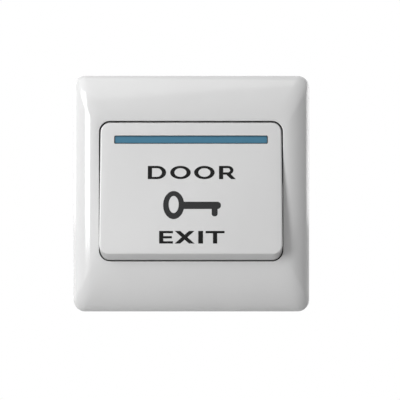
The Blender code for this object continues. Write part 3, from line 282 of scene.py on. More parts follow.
def baked(obj):
    """The object with its modifiers or its curve turned into one plain mesh at the origin."""
    bpy.context.view_layer.update()
    evaluated = obj.evaluated_get(bpy.context.evaluated_depsgraph_get())
    mesh = bpy.data.meshes.new_from_object(evaluated)
    mesh.transform(obj.matrix_world)
    shape = bmesh.new()
    shape.from_mesh(mesh)
    bmesh.ops.remove_doubles(shape, verts=shape.verts, dist=WELD)
    bmesh.ops.dissolve_degenerate(shape, edges=shape.edges, dist=WELD)
    shape.to_mesh(mesh)
    shape.free()
    name = obj.name
    bpy.data.objects.remove(obj)
    mesh.name = name
    return new_object(name, mesh)


def smooth(obj, angle=SHARP_ANGLE):
    obj.data.shade_smooth()
    obj.data.set_sharp_from_angle(angle=angle)
    return obj


def box(name, x, y, z):
    shape = bmesh.new()
    bmesh.ops.create_cube(shape, size=1)
    size = Matrix.Diagonal((x[1] - x[0], y[1] - y[0], z[1] - z[0], 1))
    middle = Matrix.Translation(((x[0] + x[1]) / 2, (y[0] + y[1]) / 2, (z[0] + z[1]) / 2))
    bmesh.ops.transform(shape, matrix=middle @ size, verts=shape.verts)
    return object_from_bmesh(name, shape)


def loft(name, rings, closed=False):
    """A skin over rings of equal count. It is closed on itself from last ring to first, or capped at both."""
    shape = bmesh.new()
    rows = [[shape.verts.new(point) for point in ring] for ring in rings]
    pairs = list(zip(rows, rows[1:]))
    if closed:
        pairs.append((rows[-1], rows[0]))
    else:
        shape.faces.new(rows[0])
        shape.faces.new(rows[-1])
    for one, other in pairs:
        for i in range(len(one)):
            j = (i + 1) % len(one)
            shape.faces.new((one[i], one[j], other[j], other[i]))
    return object_from_bmesh(name, shape)


def round_ring(radius, x, y, z):
    """A circle about a line along Y."""
    angles = [2 * math.pi * i / CIRCLE_STEPS for i in range(CIRCLE_STEPS)]
    return [(x + radius * math.cos(a), y, z + radius * math.sin(a)) for a in angles]


def turned(name, profile, x, z):
    """A round piece about a line along Y. The profile holds (radius, y) and both its ends are capped."""
    return loft(name, [round_ring(radius, x, y, z) for radius, y in profile])


def extruded(name, plane, outlines, low, high):
    """Outlines in the XZ or YZ plane, thickened across it from low to high. Inner outlines are holes."""
    curve = bpy.data.curves.new(name, "CURVE")
    curve.dimensions = "2D"
    curve.fill_mode = "BOTH"
    curve.extrude = (high - low) / 2
    for outline in outlines:
        spline = curve.splines.new("POLY")
        spline.points.add(len(outline) - 1)
        for point, (across, up) in zip(spline.points, outline):
            point.co = (across, up, 0, 1)
        spline.use_cyclic_u = True
    obj = new_object(name, curve)
    middle = (low + high) / 2
    place = {"XZ": (0, middle, 0), "YZ": (middle, 0, 0)}[plane]
    obj.matrix_world = Matrix.Translation(place) @ FACING[plane].to_4x4()
    return baked(obj)


def arc(centre, radii, start, end, steps=CIRCLE_STEPS):
    """Points on an ellipse from one angle to another, in degrees."""
    angles = [math.radians(start + (end - start) * i / steps) for i in range(steps + 1)]
    return [(centre[0] + radii[0] * math.cos(a), centre[1] + radii[1] * math.sin(a)) for a in angles]


def ellipse(centre, radii):
    return arc(centre, radii, 0, 360)[:-1]


def corner(x, z, radius, start):
    """A quarter of a circle about (x, z)."""
    return arc((x, z), (radius, radius), start, start + 90, CORNER_STEPS)


def rounded_rectangle(x_low, x_high, z_low, z_high, radius):
    """Corner arcs joined by straight sides, as (x, z) points in order."""
    points = corner(x_high - radius, z_low + radius, radius, -90)
    points += corner(x_high - radius, z_high - radius, radius, 0)
    points += corner(x_low + radius, z_high - radius, radius, 90)
    points += corner(x_low + radius, z_low + radius, radius, 180)
    return points


def combined(target, pieces, operation):
    """The target after an exact Boolean with each piece, which is then gone."""
    for piece in pieces:
        modifier = target.modifiers.new(piece.name, "BOOLEAN")
        modifier.operation = operation
        modifier.solver = "EXACT"
        modifier.object = piece
    result = baked(target)
    for piece in pieces:
        bpy.data.objects.remove(piece)
    return result


def both_sides(shape_at):
    return [shape_at(side) for side in (-1, 1)]


def span(side, near, far):
    return tuple(sorted((side * near, side * far)))


# Wall plate


def plate_ring(share, depth, inset=0.0):
    """A ring of the crown, from the plate's outline at share 0 to its opening at share 1."""
    lip = OPENING_LIP if inset else 0.0

    def between(outer, inner):
        return outer + (inner - outer) * share

    half_width = between(PLATE_HALF - inset, OPENING_HALF_WIDTH + lip)
    top = between(PLATE_HALF - inset, OPENING_TOP_Z + lip)
    bottom = between(inset - PLATE_HALF, OPENING_BOTTOM_Z - lip)
    radius = between(PLATE_CORNER - inset, OPENING_CORNER + lip)
    return [(x, -depth, z) for x, z in rounded_rectangle(-half_width, half_width, bottom, top, radius)]


def crown_depth(share):
    """Height of the crown above the wall: a quarter of a superellipse, then the flat by the opening."""
    along = min(share / (1 - PLATE_FLAT_SHARE), 1)
    rise = (1 - (1 - along) ** PLATE_CROWN_POWER) ** (1 / PLATE_CROWN_POWER)
    return PLATE_EDGE_DEPTH + (PLATE_DEPTH - PLATE_EDGE_DEPTH) * rise


def opening_ring(grow, y):
    half_width = OPENING_HALF_WIDTH + grow
    low, high = OPENING_BOTTOM_Z - grow, OPENING_TOP_Z + grow
    outline = rounded_rectangle(-half_width, half_width, low, high, OPENING_CORNER + grow)
    return [(x, y, z) for x, z in outline]


def cover_clip(side_x, side_z):
    share = (PLATE_HALF - CLIP_Z) / (PLATE_HALF - OPENING_TOP_Z)
    root_y = -crown_depth(share) + PLATE_WALL / 2
    barb_front_y = BASE_FRONT_Y + CLIP_LEDGE + SEAT_GAP
    barb_back_y = barb_front_y + CLIP_BARB_HEIGHT
    inner, outer = CLIP_Z - CLIP_THICKNESS / 2, CLIP_Z + CLIP_THICKNESS / 2
    profile = [
        (root_y, inner),
        (barb_back_y, inner),
        (barb_back_y, outer - CLIP_LEAD),
        (barb_front_y, outer + CLIP_BARB),
        (barb_front_y, outer),
        (root_y, outer),
    ]
    middle = side_x * CLIP_X
    outline = [(y, side_z * z) for y, z in profile]
    return extruded("clip", "YZ", [outline], middle - CLIP_WIDTH / 2, middle + CLIP_WIDTH / 2)


def plate_shell():
    curve = [1 - math.cos(math.pi / 2 * i / CROWN_STEPS) for i in range(CROWN_STEPS + 1)]
    shares = [(1 - PLATE_FLAT_SHARE) * share for share in curve]
    lip_back_y = PLATE_FACE_Y + OPENING_LIP_DEPTH
    rings = [plate_ring(0, 0)]
    rings += [plate_ring(share, crown_depth(share)) for share in shares]
    for step in range(EDGE_STEPS + 1):
        angle = math.pi / 2 * step / EDGE_STEPS
        grow = OPENING_EDGE_RADIUS * (1 - math.sin(angle))
        back = OPENING_EDGE_RADIUS * (1 - math.cos(angle))
        rings.append(opening_ring(grow, PLATE_FACE_Y + back))
    rings.append(opening_ring(0, lip_back_y))
    rings.append(opening_ring(OPENING_LIP, lip_back_y))
    rings.append(opening_ring(OPENING_LIP, PLATE_FACE_Y + PLATE_WALL))
    rings += [plate_ring(share, crown_depth(share) - PLATE_WALL, PLATE_WALL) for share in reversed(shares)]
    rings.append(plate_ring(0, 0, PLATE_WALL))
    shell = loft("plate_shell", rings, closed=True)
    shell = combined(shell, [cover_clip(x, z) for x in (-1, 1) for z in (-1, 1)], "UNION")
    notch = box(
        "notch",
        (-PRY_NOTCH_WIDTH / 2, PRY_NOTCH_WIDTH / 2),
        (-PRY_NOTCH_DEPTH, PAST),
        (-PLATE_HALF - PAST, -PLATE_HALF + PRY_NOTCH_REACH),
    )
    return smooth(combined(shell, [notch], "DIFFERENCE"))


# Button


def button_ring(inset, foot_share, y_at):
    """A ring round the button. foot_share says how far its lower side has climbed the sloping foot."""
    low = BUTTON_BOTTOM_Z + BUTTON_FOOT_RUN * foot_share + inset
    half_width = BUTTON_HALF_WIDTH - inset
    outline = rounded_rectangle(-half_width, half_width, low, BUTTON_TOP_Z - inset, BUTTON_CORNER - inset)
    return [(x, y_at(z), z) for x, z in outline]


def slope_between(top_y, bottom_y):
    """A plane across the button, given by its depth at the top and the bottom."""

    def y_at(z):
        share = (BUTTON_TOP_Z - z) / (BUTTON_TOP_Z - BUTTON_BOTTOM_Z)
        return top_y + (bottom_y - top_y) * share

    return y_at


def pivot_arm(side):
    low_z, high_z = PIVOT_Z - ARM_RADIUS, PIVOT_Z + ARM_RADIUS
    outline = [(underside_y(high_z) - JOIN, high_z), (underside_y(low_z) - JOIN, low_z)]
    outline += arc((PIVOT_Y, PIVOT_Z), (ARM_RADIUS, ARM_RADIUS), -90, 90)
    return extruded("arm", "YZ", [outline], *span(side, ARM_OUTER_X - ARM_THICKNESS, ARM_OUTER_X))


def pivot_stud(side):
    outline = ellipse((PIVOT_Y, PIVOT_Z), (STUD_RADIUS, STUD_RADIUS))
    return extruded("stud", "YZ", [outline], *span(side, ARM_OUTER_X - ARM_THICKNESS / 2, STUD_OUTER_X))


def spring_boss(side):
    seat_y = underside_y(SPRING_Z) + SPRING_BOSS_LENGTH
    profile = [
        (SPIGOT_RADIUS - SPIGOT_LEAD, seat_y + SPIGOT_LENGTH),
        (SPIGOT_RADIUS, seat_y + SPIGOT_LENGTH - SPIGOT_LEAD),
        (SPIGOT_RADIUS, seat_y),
        (SPRING_RADIUS, seat_y),
        (SPRING_RADIUS, underside_y(SPRING_Z) - JOIN),
    ]
    return turned("boss", profile, side * SPRING_X, SPRING_Z)


def limit_hook(side):
    root_y = underside_y(HOOK_Z) - JOIN
    barb_back_y = SEAT_GAP + HOOK_BARB_HEIGHT
    outline = [
        (root_y, HOOK_Z),
        (SEAT_GAP, HOOK_Z),
        (SEAT_GAP, HOOK_Z - HOOK_BARB),
        (barb_back_y, HOOK_Z + HOOK_LEAD),
        (barb_back_y, HOOK_Z + HOOK_THICKNESS),
        (root_y, HOOK_Z + HOOK_THICKNESS),
    ]
    middle = side * HOOK_X
    return extruded("hook", "YZ", [outline], middle - HOOK_WIDTH / 2, middle + HOOK_WIDTH / 2)


def button_rib(side):
    low_z, high_z = BUTTON_FOOT_Z + BUTTON_WALL, PIVOT_Z
    outline = [
        (underside_y(low_z) - JOIN, low_z),
        (underside_y(low_z) + BUTTON_RIB_HEIGHT, low_z),
        (underside_y(high_z) + BUTTON_RIB_HEIGHT, high_z),
        (underside_y(high_z) - JOIN, high_z),
    ]
    middle = side * BUTTON_RIB_X
    return extruded("rib", "YZ", [outline], middle - BUTTON_RIB_WIDTH / 2, middle + BUTTON_RIB_WIDTH / 2)


def laid_on_face(piece, z):
    """Leans a piece that was drawn upright about the origin, and moves it to height z of the face."""
    piece.data.transform(Matrix.Translation((0, face_y(z), z)) @ Matrix.Rotation(-FACE_TILT, 4, "X"))
    return piece


def button_shell():
    skirt = slope_between(BUTTON_SKIRT_Y, BUTTON_SKIRT_Y)
    outer_top_y = (BUTTON_SKIRT_Y + face_y(BUTTON_TOP_Z) + BUTTON_EDGE_RADIUS) / 2
    inner_top_y = (BUTTON_SKIRT_Y + underside_y(BUTTON_TOP_Z)) / 2
    rings = []
    for step in range(EDGE_STEPS + 1):
        angle = math.pi / 2 * (1 - step / EDGE_STEPS)
        inset = BUTTON_EDGE_RADIUS * (1 - math.cos(angle))
        back = BUTTON_EDGE_RADIUS * (1 - math.sin(angle))
        rings.append(button_ring(inset, 1, lambda z, back=back: face_y(z) + back))
    rings.append(button_ring(0, 0, slope_between(outer_top_y, PLATE_FACE_Y)))
    rings.append(button_ring(0, 0, skirt))
    rings.append(button_ring(BUTTON_WALL, 0, skirt))
    rings.append(button_ring(BUTTON_WALL, 0, slope_between(inner_top_y, PLATE_FACE_Y)))
    rings.append(button_ring(BUTTON_WALL, 1, underside_y))
    shell = loft("button_shell", rings)
    root_y = underside_y(PLUNGER_Z)
    profile = [(PUSHER_RADIUS, root_y + PUSHER_LENGTH), (PUSHER_RADIUS, root_y - JOIN)]
    inside = [turned("pusher", profile, 0, PLUNGER_Z)]
    for shape_at in (pivot_arm, pivot_stud, spring_boss, limit_hook, button_rib):
        inside += both_sides(shape_at)
    shell = combined(shell, inside, "UNION")
    half_width, half_height = STRIP_HALF_WIDTH + STRIP_GAP, STRIP_HEIGHT / 2 + STRIP_GAP
    outline = rounded_rectangle(-half_width, half_width, -half_height, half_height, STRIP_CORNER + STRIP_GAP)
    cutters = [laid_on_face(extruded("recess", "XZ", [outline], -PAST, STRIP_FLOOR), STRIP_Z)]
    for side in (-1, 1):
        radius = STRIP_PEG_RADIUS + STRIP_GAP
        profile = [(radius, STRIP_FLOOR - STRIP_GAP), (radius, STRIP_FLOOR + PAST)]
        cutters.append(laid_on_face(turned("peg_hole", profile, side * STRIP_PEG_X, 0), STRIP_Z))
    return smooth(combined(shell, cutters, "DIFFERENCE"))


# Print: plain wide letters and a plain key


def letter_d(width, height):
    centre = (width / 2, height / 2)
    outer = [(0, 0)] + arc(centre, centre, -90, 90) + [(0, height)]
    inner = [(STEM, BAR)] + arc(centre, (width / 2 - STEM, height / 2 - BAR), -90, 90)
    return [outer, inner + [(STEM, height - BAR)]]


def letter_o(width, height):
    centre = (width / 2, height / 2)
    return [ellipse(centre, centre), ellipse(centre, (width / 2 - STEM, height / 2 - BAR))]


def letter_r(width, height):
    low = 0.34 * height
    bowl_width, bowl_radius = 0.86 * width, 0.33 * width
    centre = (bowl_width - bowl_radius, (low + height) / 2)
    half = (height - low) / 2
    leg = 0.29 * width
    bowl = arc(centre, (bowl_radius, half), -60, 90)
    bowl_stroke = 0.8 * STEM
    leg_top = bowl[0][0] - leg + LEG_TUCK
    outer = [(0, 0), (STEM, 0), (STEM, low), (leg_top, low), (width - leg, 0), (width, 0)]
    hole = [(STEM, low + BAR)] + arc(centre, (bowl_radius - bowl_stroke, half - BAR), -90, 90)
    return [outer + bowl + [(0, height)], hole + [(STEM, height - BAR)]]


def letter_e(width, height):
    middle, short = height / 2, 0.92 * width
    outline = [(0, 0), (width, 0), (width, BAR), (STEM, BAR)]
    outline += [(STEM, middle - BAR / 2), (short, middle - BAR / 2), (short, middle + BAR / 2)]
    outline += [(STEM, middle + BAR / 2), (STEM, height - BAR), (width, height - BAR), (width, height)]
    return [outline + [(0, height)]]


def letter_x(width, height):
    stroke = 0.28 * width
    notch = height * (width / 2 - stroke) / (width - stroke)
    lower = [(0, 0), (stroke, 0), (width / 2, notch), (width - stroke, 0), (width, 0)]
    upper = [(x, height - z) for x, z in reversed(lower)]
    right, left = ((width + stroke) / 2, height / 2), ((width - stroke) / 2, height / 2)
    return [lower + [right] + upper + [left]]


def letter_i(width, height):
    return [[(0, 0), (width, 0), (width, height), (0, height)]]


def letter_t(width, height):
    left, right = (width - STEM) / 2, (width + STEM) / 2
    outline = [(left, 0), (right, 0), (right, height - BAR), (width, height - BAR), (width, height)]
    return [outline + [(0, height), (0, height - BAR), (left, height - BAR)]]


def word(name, letters, x, z, height):
    """A row of letters. Each is a drawing rule, its width and the space that follows it."""
    outlines = []
    for draw, width, space in letters:
        for outline in draw(width, height):
            outlines.append([(x + across, up) for across, up in outline])
        x += width + space
    return laid_on_face(extruded(name, "XZ", outlines, -PRINT_PROUD, PRINT_PROUD), z)


def key_sign():
    """A plain key lying on its side: an oval bow with a hole, a shaft and one bit, in a single outline."""
    upper = math.degrees(math.asin(KEY_SHAFT_TOP / KEY_BOW_RADII[1]))
    lower = math.degrees(math.asin(KEY_SHAFT_FOOT / KEY_BOW_RADII[1]))
    bit_z = KEY_BIT_FOOT + KEY_BIT_ROUND
    end_x = KEY_SHAFT_END - KEY_SHAFT_ROUND
    outline = arc((KEY_BOW_X, 0), KEY_BOW_RADII, upper, 360 + lower)
    outline.append((KEY_BIT_LEFT, KEY_SHAFT_FOOT))
    outline += corner(KEY_BIT_LEFT + KEY_BIT_ROUND, bit_z, KEY_BIT_ROUND, 180)
    outline += corner(KEY_BIT_RIGHT - KEY_BIT_ROUND, bit_z, KEY_BIT_ROUND, 270)
    outline.append((KEY_BIT_RIGHT, KEY_SHAFT_FOOT))
    outline += corner(end_x, KEY_SHAFT_FOOT + KEY_SHAFT_ROUND, KEY_SHAFT_ROUND, 270)
    outline += corner(end_x, KEY_SHAFT_TOP - KEY_SHAFT_ROUND, KEY_SHAFT_ROUND, 0)
    hole = ellipse((KEY_BOW_X, KEY_HOLE_RISE), KEY_HOLE_RADII)
    return laid_on_face(extruded("key_sign", "XZ", [outline, hole], -PRINT_PROUD, PRINT_PROUD), KEY_Z)


# Springs


def coil(name, radius, wire, turns, x, z, low, high):
    """A compression spring along Y with closed end turns, as a mesh. radius is its outer radius."""
    closed_pitch = END_TURN_CLIMB * wire
    first, last = low + wire / 2, high - wire / 2
    open_pitch = (last - first - 2 * closed_pitch) / (turns - 2)
    curve = bpy.data.curves.new(name, "CURVE")
    curve.dimensions = "3D"
    curve.bevel_depth = wire / 2
    curve.bevel_resolution = COIL_WIRE_STEPS
    curve.use_fill_caps = True
    spline = curve.splines.new("POLY")
    spline.points.add(turns * COIL_STEPS)
    for i, point in enumerate(spline.points):
        turn = i / COIL_STEPS
        ends = min(turn, 1) + max(turn - (turns - 1), 0)
        y = first + closed_pitch * ends + open_pitch * (turn - ends)
        angle = 2 * math.pi * turn
        middle = radius - wire / 2
        point.co = (x + middle * math.cos(angle), y, z + middle * math.sin(angle), 1)
    return smooth(baked(new_object(name, curve)), COIL_SHARP_ANGLE)


# Materials


class Nodes:
    """Short ways to add nodes to a material."""

    def __init__(self, name):
        self.material = bpy.data.materials.new(name)
        self.material.use_nodes = True
        self.tree = self.material.node_tree
        self.shader = self.tree.nodes["Principled BSDF"]
        self.place = self.tree.nodes.new("ShaderNodeTexCoord").outputs["Object"]

    def link(self, output, target):
        self.tree.links.new(output, target)

    def noise(self, scale, detail, stretch=(1, 1, 1)):
        mapping = self.tree.nodes.new("ShaderNodeMapping")
        mapping.inputs["Scale"].default_value = stretch
        self.link(self.place, mapping.inputs["Vector"])
        node = self.tree.nodes.new("ShaderNodeTexNoise")
        node.inputs["Scale"].default_value = scale
        node.inputs["Detail"].default_value = detail
        self.link(mapping.outputs["Vector"], node.inputs["Vector"])
        return node.outputs["Fac"]

    def spread(self, value, low, high, from_low=0.3, from_high=0.7):
        node = self.tree.nodes.new("ShaderNodeMapRange")
        limits = {"From Min": from_low, "From Max": from_high, "To Min": low, "To Max": high}
        for socket, number in limits.items():
            node.inputs[socket].default_value = number
        self.link(value, node.inputs["Value"])
        return node.outputs["Result"]

    def maths(self, operation, one, other):
        node = self.tree.nodes.new("ShaderNodeMath")
        node.operation = operation
        for socket, value in zip(node.inputs, (one, other)):
            if isinstance(value, (int, float)):
                socket.default_value = value
            else:
                self.link(value, socket)
        return node.outputs[0]

    def blend(self, share, one, other):
        node = self.tree.nodes.new("ShaderNodeMix")
        node.data_type = "RGBA"
        for socket, colour in ((node.inputs["A"], one), (node.inputs["B"], other)):
            if isinstance(colour, tuple):
                socket.default_value = (*colour, 1.0)
            else:
                self.link(colour, socket)
        self.link(share, node.inputs["Factor"])
        return node.outputs["Result"]

    def edges(self, low, high):
        """How much a spot stands out as an edge, from 0 to 1."""
        geometry = self.tree.nodes.new("ShaderNodeNewGeometry")
        return self.spread(geometry.outputs["Pointiness"], 0.0, 1.0, low, high)

    def painted_shade_in_joints(self, reach, closed, open_from):
        """How much painted shade a spot gets for lying in a joint or recess, from ambient occlusion: 1 where
        closed or less is open round it, 0 from open_from on.
        """
        node = self.tree.nodes.new("ShaderNodeAmbientOcclusion")
        node.samples = 8
        node.inputs["Distance"].default_value = reach
        return self.spread(node.outputs["AO"], 1.0, 0.0, closed, open_from)

    def bump(self, height, distance):
        node = self.tree.nodes.new("ShaderNodeBump")
        node.inputs["Distance"].default_value = distance
        self.link(height, node.inputs["Height"])
        self.link(node.outputs["Normal"], self.shader.inputs["Normal"])


def shade(colour, factor):
    return tuple(channel * factor for channel in colour)


def plastic(name, colour, roughness, peel_scale, peel_height, joint_shade_range=PLATE_JOINT_SHADE, wear=0.03):
    """Moulded plastic: flow marks, an uneven gloss, orange peel, polished edges, and painted shade with a
    dull gloss in joints.
    """
    n = Nodes(name)
    flow = n.spread(n.noise(scale=38.0, detail=4.0, stretch=(1, 1, 0.45)), low=0.0, high=1.0)
    base = n.blend(flow, shade(colour, 0.985), shade(colour, 1.012))
    worn = n.maths("MULTIPLY", n.edges(low=0.53, high=0.62), wear)
    base = n.blend(worn, base, (1.0, 1.0, 1.0))
    # Painted shade: the colour darkens where ambient occlusion finds a joint or recess, and the gloss is
    # dulled there too.
    painted_shade = n.painted_shade_in_joints(*joint_shade_range)
    base = n.blend(painted_shade, base, shade(colour, JOINT_SHADE))
    n.link(base, n.shader.inputs["Base Color"])
    gloss = n.spread(n.noise(scale=120.0, detail=5.0), low=roughness * 0.88, high=roughness * 1.15)
    dull = n.maths("MULTIPLY", painted_shade, JOINT_ROUGHNESS)
    n.link(n.maths("MAXIMUM", gloss, dull), n.shader.inputs["Roughness"])
    fine_peel = n.maths("MULTIPLY", n.noise(scale=peel_scale * 5, detail=1.0), 0.25)
    peel = n.maths("ADD", n.noise(scale=peel_scale, detail=2.0), fine_peel)
    n.bump(peel, peel_height)
    return n.material


def metal(name, colour, dull, roughness, stretch, mark_height):
    """Drawn, rolled or plated metal: marks along one way, dull patches and bright edges."""
    n = Nodes(name)
    marks = n.noise(scale=900.0, detail=4.0, stretch=stretch)
    patches = n.spread(n.noise(scale=420.0, detail=5.0), low=0.0, high=1.0, from_low=0.42, from_high=0.68)
    base = n.blend(patches, colour, dull)
    bright = n.maths("MULTIPLY", n.edges(low=0.52, high=0.60), 0.5)
    base = n.blend(bright, base, shade(colour, 1.2))
    n.link(base, n.shader.inputs["Base Color"])
    n.shader.inputs["Metallic"].default_value = 1.0
    rough = n.spread(marks, low=roughness * 0.7, high=roughness * 1.2)
    rough = n.maths("ADD", rough, n.maths("MULTIPLY", patches, 0.12))
    n.link(rough, n.shader.inputs["Roughness"])
    n.bump(marks, mark_height)
    return n.material


def ink(name, colour):
    """Pad print: matt ink with a fine grain and pinholes."""
    n = Nodes(name)
    grain = n.noise(scale=5200.0, detail=2.0)
    base = n.blend(n.spread(grain, low=0.0, high=1.0), shade(colour, 0.8), shade(colour, 1.25))
    n.link(base, n.shader.inputs["Base Color"])
    n.link(n.spread(n.noise(scale=1400.0, detail=2.0), low=0.42, high=0.56), n.shader.inputs["Roughness"])
    n.shader.inputs["Specular IOR Level"].default_value = 0.15
    n.bump(grain, 0.000004)
    return n.material


def dress(obj, material):
    obj.data.materials.clear()
    obj.data.materials.append(material)


def carried_over(node, material, bevel=0.0):
    """A CAD node that stays in view: welded, its edges broken and its material replaced."""
    obj = frame["nodes"][node]
    if "custom_normal" in obj.data.attributes:
        obj.data.attributes.remove(obj.data.attributes["custom_normal"])
    dress(obj, material)
    weld = obj.modifiers.new("weld", "WELD")
    weld.merge_threshold = WELD
    obj.data.shade_smooth()
    if bevel:
        modifier = obj.modifiers.new("broken_edges", "BEVEL")
        modifier.width = bevel
        modifier.segments = 2
        modifier.limit_method = "ANGLE"
        modifier.angle_limit = BROKEN_EDGE_ANGLE
        modifier.use_clamp_overlap = True
        modifier.harden_normals = True


def piece(obj, body, material, slot=None, *nodes):
    """Sets a piece made here on its body. It may take the place of CAD nodes."""
    dress(obj, material)
    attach(obj, body)
    if nodes:
        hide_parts(*nodes)


# Plastics: name, colour, roughness, scale and height of the orange peel
WHITE_GLOSS = plastic("plate_white", (0.66, 0.66, 0.66), 0.13, 420.0, 0.0000035)
WHITE_SATIN = plastic("button_white", (0.66, 0.66, 0.66), 0.33, 1500.0, 0.000002)
WHITE_BASE = plastic("base_white", (0.64, 0.64, 0.62), 0.42, 1200.0, 0.000005)
WHITE_HOUSING = plastic("housing_white", (0.60, 0.60, 0.575), 0.48, 1000.0, 0.000006)
BLACK = plastic("plunger_black", (0.028, 0.028, 0.028), 0.38, 1500.0, 0.000004, wear=0.05)
# The strip's rim gets painted shade where the walls of its recess close round it.
BLUE = plastic("strip_blue", (0.041, 0.170, 0.268), 0.22, 700.0, 0.000003, STRIP_RIM_SHADE, wear=0.0)
INK_WORDS = ink("words_black", (0.0045, 0.0045, 0.0045))
INK_KEY = ink("key_black", (0.028, 0.028, 0.029))

# Metals: name, colour, colour of the dull patches, roughness, stretch and height of the marks
BRASS = metal("rolled_brass", (0.74, 0.53, 0.24), (0.50, 0.34, 0.15), 0.26, (1, 1, 0.12), 0.000002)
SILVER = metal("silver_alloy", (0.80, 0.80, 0.78), (0.55, 0.54, 0.50), 0.22, (1, 0.3, 1), 0.000002)
ZINC = metal("zinc_plate", (0.66, 0.68, 0.70), (0.50, 0.53, 0.56), 0.27, (1, 0.4, 1), 0.000002)
WIRE = metal("spring_wire", (0.52, 0.52, 0.54), (0.30, 0.29, 0.28), 0.30, (1, 0.1, 1), 0.000002)

# Shells and print

piece(plate_shell(), "base", WHITE_GLOSS, "plate_plastic", "cover_frame")
piece(button_shell(), "button", WHITE_SATIN, "button_plastic", "rocker_button")

DOOR = (
    (letter_d, 0.0065, 0.00145),
    (letter_o, 0.0073, 0.0012),
    (letter_o, 0.0073, 0.00155),
    (letter_r, 0.0060, 0),
)
EXIT = (
    (letter_e, 0.0049, 0.0006),
    (letter_x, 0.0070, 0.0013),
    (letter_i, 0.0017, 0.0009),
    (letter_t, 0.0067, 0),
)
piece(word("word_door", DOOR, WORD_DOOR_X, WORD_DOOR_Z, WORD_DOOR_HEIGHT), "button", INK_WORDS)
piece(word("word_exit", EXIT, WORD_EXIT_X, WORD_EXIT_Z, WORD_EXIT_HEIGHT), "button", INK_WORDS)
piece(key_sign(), "button", INK_KEY)

# Solids that stay in view

carried_over("indicator_strip", BLUE, SMALL_MOULDED_EDGE)
carried_over("mounting_base", WHITE_BASE, MOULDED_EDGE)
carried_over("contact_housing", WHITE_HOUSING, MOULDED_EDGE)
carried_over("plunger", BLACK, SMALL_MOULDED_EDGE)
carried_over("contact_bridge", BRASS, STAMPED_EDGE)
for hand, wire in (("left", "com"), ("right", "no")):
    carried_over(f"bridge_contact_{hand}", SILVER)
    carried_over(f"fixed_contact_{wire}", SILVER)
    carried_over(f"terminal_{wire}", BRASS, STAMPED_EDGE)
    carried_over(f"clamp_plate_{wire}", ZINC, STAMPED_EDGE)
    carried_over(f"terminal_screw_{wire}", ZINC, SCREW_EDGE)
for level in ("lower", "upper"):
    carried_over(f"housing_screw_{level}", ZINC, SCREW_EDGE)

# Springs in their places

low_y = underside_y(SPRING_Z) + SPRING_BOSS_LENGTH + SEAT_GAP
high_y = BASE_FRONT_Y - SEAT_GAP
for side, hand in ((-1, "left"), (1, "right")):
    name, x = f"return_coil_{hand}", side * SPRING_X
    spring = coil(name, SPRING_RADIUS, RETURN_WIRE, RETURN_TURNS, x, SPRING_Z, low_y, high_y)
    piece(spring, "base", WIRE, "spring_steel", f"return_spring_{hand}")
    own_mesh(spring)

low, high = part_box("plunger_spring")
spring = coil("plunger_coil", PLUNGER_COIL_RADIUS, PLUNGER_WIRE, PLUNGER_TURNS, 0, PLUNGER_Z, low.y, high.y)
piece(spring, "base", WIRE, "spring_steel", "plunger_spring")
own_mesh(spring)

low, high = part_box("contact_spring")
spring = coil("contact_coil", CONTACT_COIL_RADIUS, CONTACT_WIRE, CONTACT_TURNS, 0, PLUNGER_Z, low.y, high.y)
piece(spring, "plunger", WIRE, "spring_steel", "contact_spring")
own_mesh(spring)

# Floor, lamps, world and camera


def seen_by(tree, *rays):
    """1 for the named kinds of ray and 0 for all others."""
    path = tree.nodes.new("ShaderNodeLightPath")
    total = path.outputs[rays[0]]
    for ray in rays[1:]:
        more = tree.nodes.new("ShaderNodeMath")
        more.operation = "MAXIMUM"
        tree.links.new(total, more.inputs[0])
        tree.links.new(path.outputs[ray], more.inputs[1])
        total = more.outputs[0]
    return total


def show_mixed(tree, output, share, one, other):
    """Sends a mix of two shaders to the surface."""
    mix = tree.nodes.new("ShaderNodeMixShader")
    tree.links.new(share, mix.inputs["Fac"])
    tree.links.new(one.outputs[0], mix.inputs[1])
    tree.links.new(other.outputs[0], mix.inputs[2])
    tree.links.new(mix.outputs[0], tree.nodes[output].inputs["Surface"])


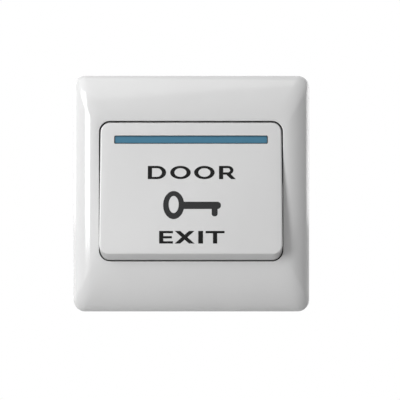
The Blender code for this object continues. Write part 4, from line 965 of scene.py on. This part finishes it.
def floor():
    shape = bmesh.new()
    bmesh.ops.create_grid(shape, x_segments=2, y_segments=2, size=FLOOR_HALF)
    bmesh.ops.translate(shape, vec=(0, 0, FLOOR_Z), verts=shape.verts)
    obj = object_from_bmesh("floor", shape)
    material = bpy.data.materials.new("floor_pale")
    material.use_nodes = True
    tree = material.node_tree
    pale = tree.nodes["Principled BSDF"]
    pale.inputs["Base Color"].default_value = (FLOOR_GREY, FLOOR_GREY, FLOOR_GREY, 1)
    pale.inputs["Roughness"].default_value = FLOOR_ROUGHNESS
    white = tree.nodes.new("ShaderNodeEmission")
    place = tree.nodes.new("ShaderNodeTexCoord")
    length = tree.nodes.new("ShaderNodeVectorMath")
    length.operation = "LENGTH"
    tree.links.new(place.outputs["Object"], length.inputs[0])
    far = tree.nodes.new("ShaderNodeMapRange")
    far.inputs["From Min"].default_value = FADE_START
    far.inputs["From Max"].default_value = FADE_END
    far.inputs["To Min"].default_value = FADE_LEAST
    far.inputs["To Max"].default_value = 1.0
    tree.links.new(length.outputs["Value"], far.inputs["Value"])
    share = tree.nodes.new("ShaderNodeMath")
    share.operation = "MULTIPLY"
    tree.links.new(seen_by(tree, "Is Camera Ray", "Is Glossy Ray"), share.inputs[0])
    tree.links.new(far.outputs["Result"], share.inputs[1])
    show_mixed(tree, "Material Output", share.outputs[0], pale, white)
    dress(obj, material)


def lamp(name, azimuth, elevation, distance, size, power):
    """An area lamp aimed at the button."""
    a, e = math.radians(azimuth), math.radians(elevation)
    place = Vector((math.sin(a) * math.cos(e), -math.cos(a) * math.cos(e), math.sin(e))) * distance
    data = bpy.data.lights.new(name, "AREA")
    data.shape = "RECTANGLE"
    data.size, data.size_y = size
    data.energy = power
    obj = new_object(name, data)
    obj.location = place
    obj.rotation_euler = (-place).to_track_quat("-Z", "Y").to_euler()


def world():
    """A soft white light, seen as plain white by the camera and in reflections."""
    made = bpy.data.worlds.new("studio")
    bpy.context.scene.world = made
    made.use_nodes = True
    tree = made.node_tree
    soft = tree.nodes["Background"]
    soft.inputs["Color"].default_value = WHITE
    soft.inputs["Strength"].default_value = WORLD_STRENGTH
    white = tree.nodes.new("ShaderNodeBackground")
    white.inputs["Color"].default_value = WHITE
    share = seen_by(tree, "Is Camera Ray", "Is Glossy Ray", "Is Transmission Ray")
    show_mixed(tree, "World Output", share, soft, white)


def camera():
    data = bpy.data.cameras.new("camera")
    data.lens = CAMERA_LENS
    data.shift_x = CAMERA_SHIFT
    data.sensor_width = SENSOR_WIDTH
    data.clip_start, data.clip_end = CAMERA_CLIP
    obj = new_object("camera", data)
    obj.location = CAMERA_PLACE
    obj.rotation_euler = (math.pi / 2, 0, 0)
    bpy.context.scene.camera = obj


floor()
for settings in LAMPS:
    lamp(*settings)
world()
camera()
bpy.context.scene.view_settings.view_transform = "Standard"
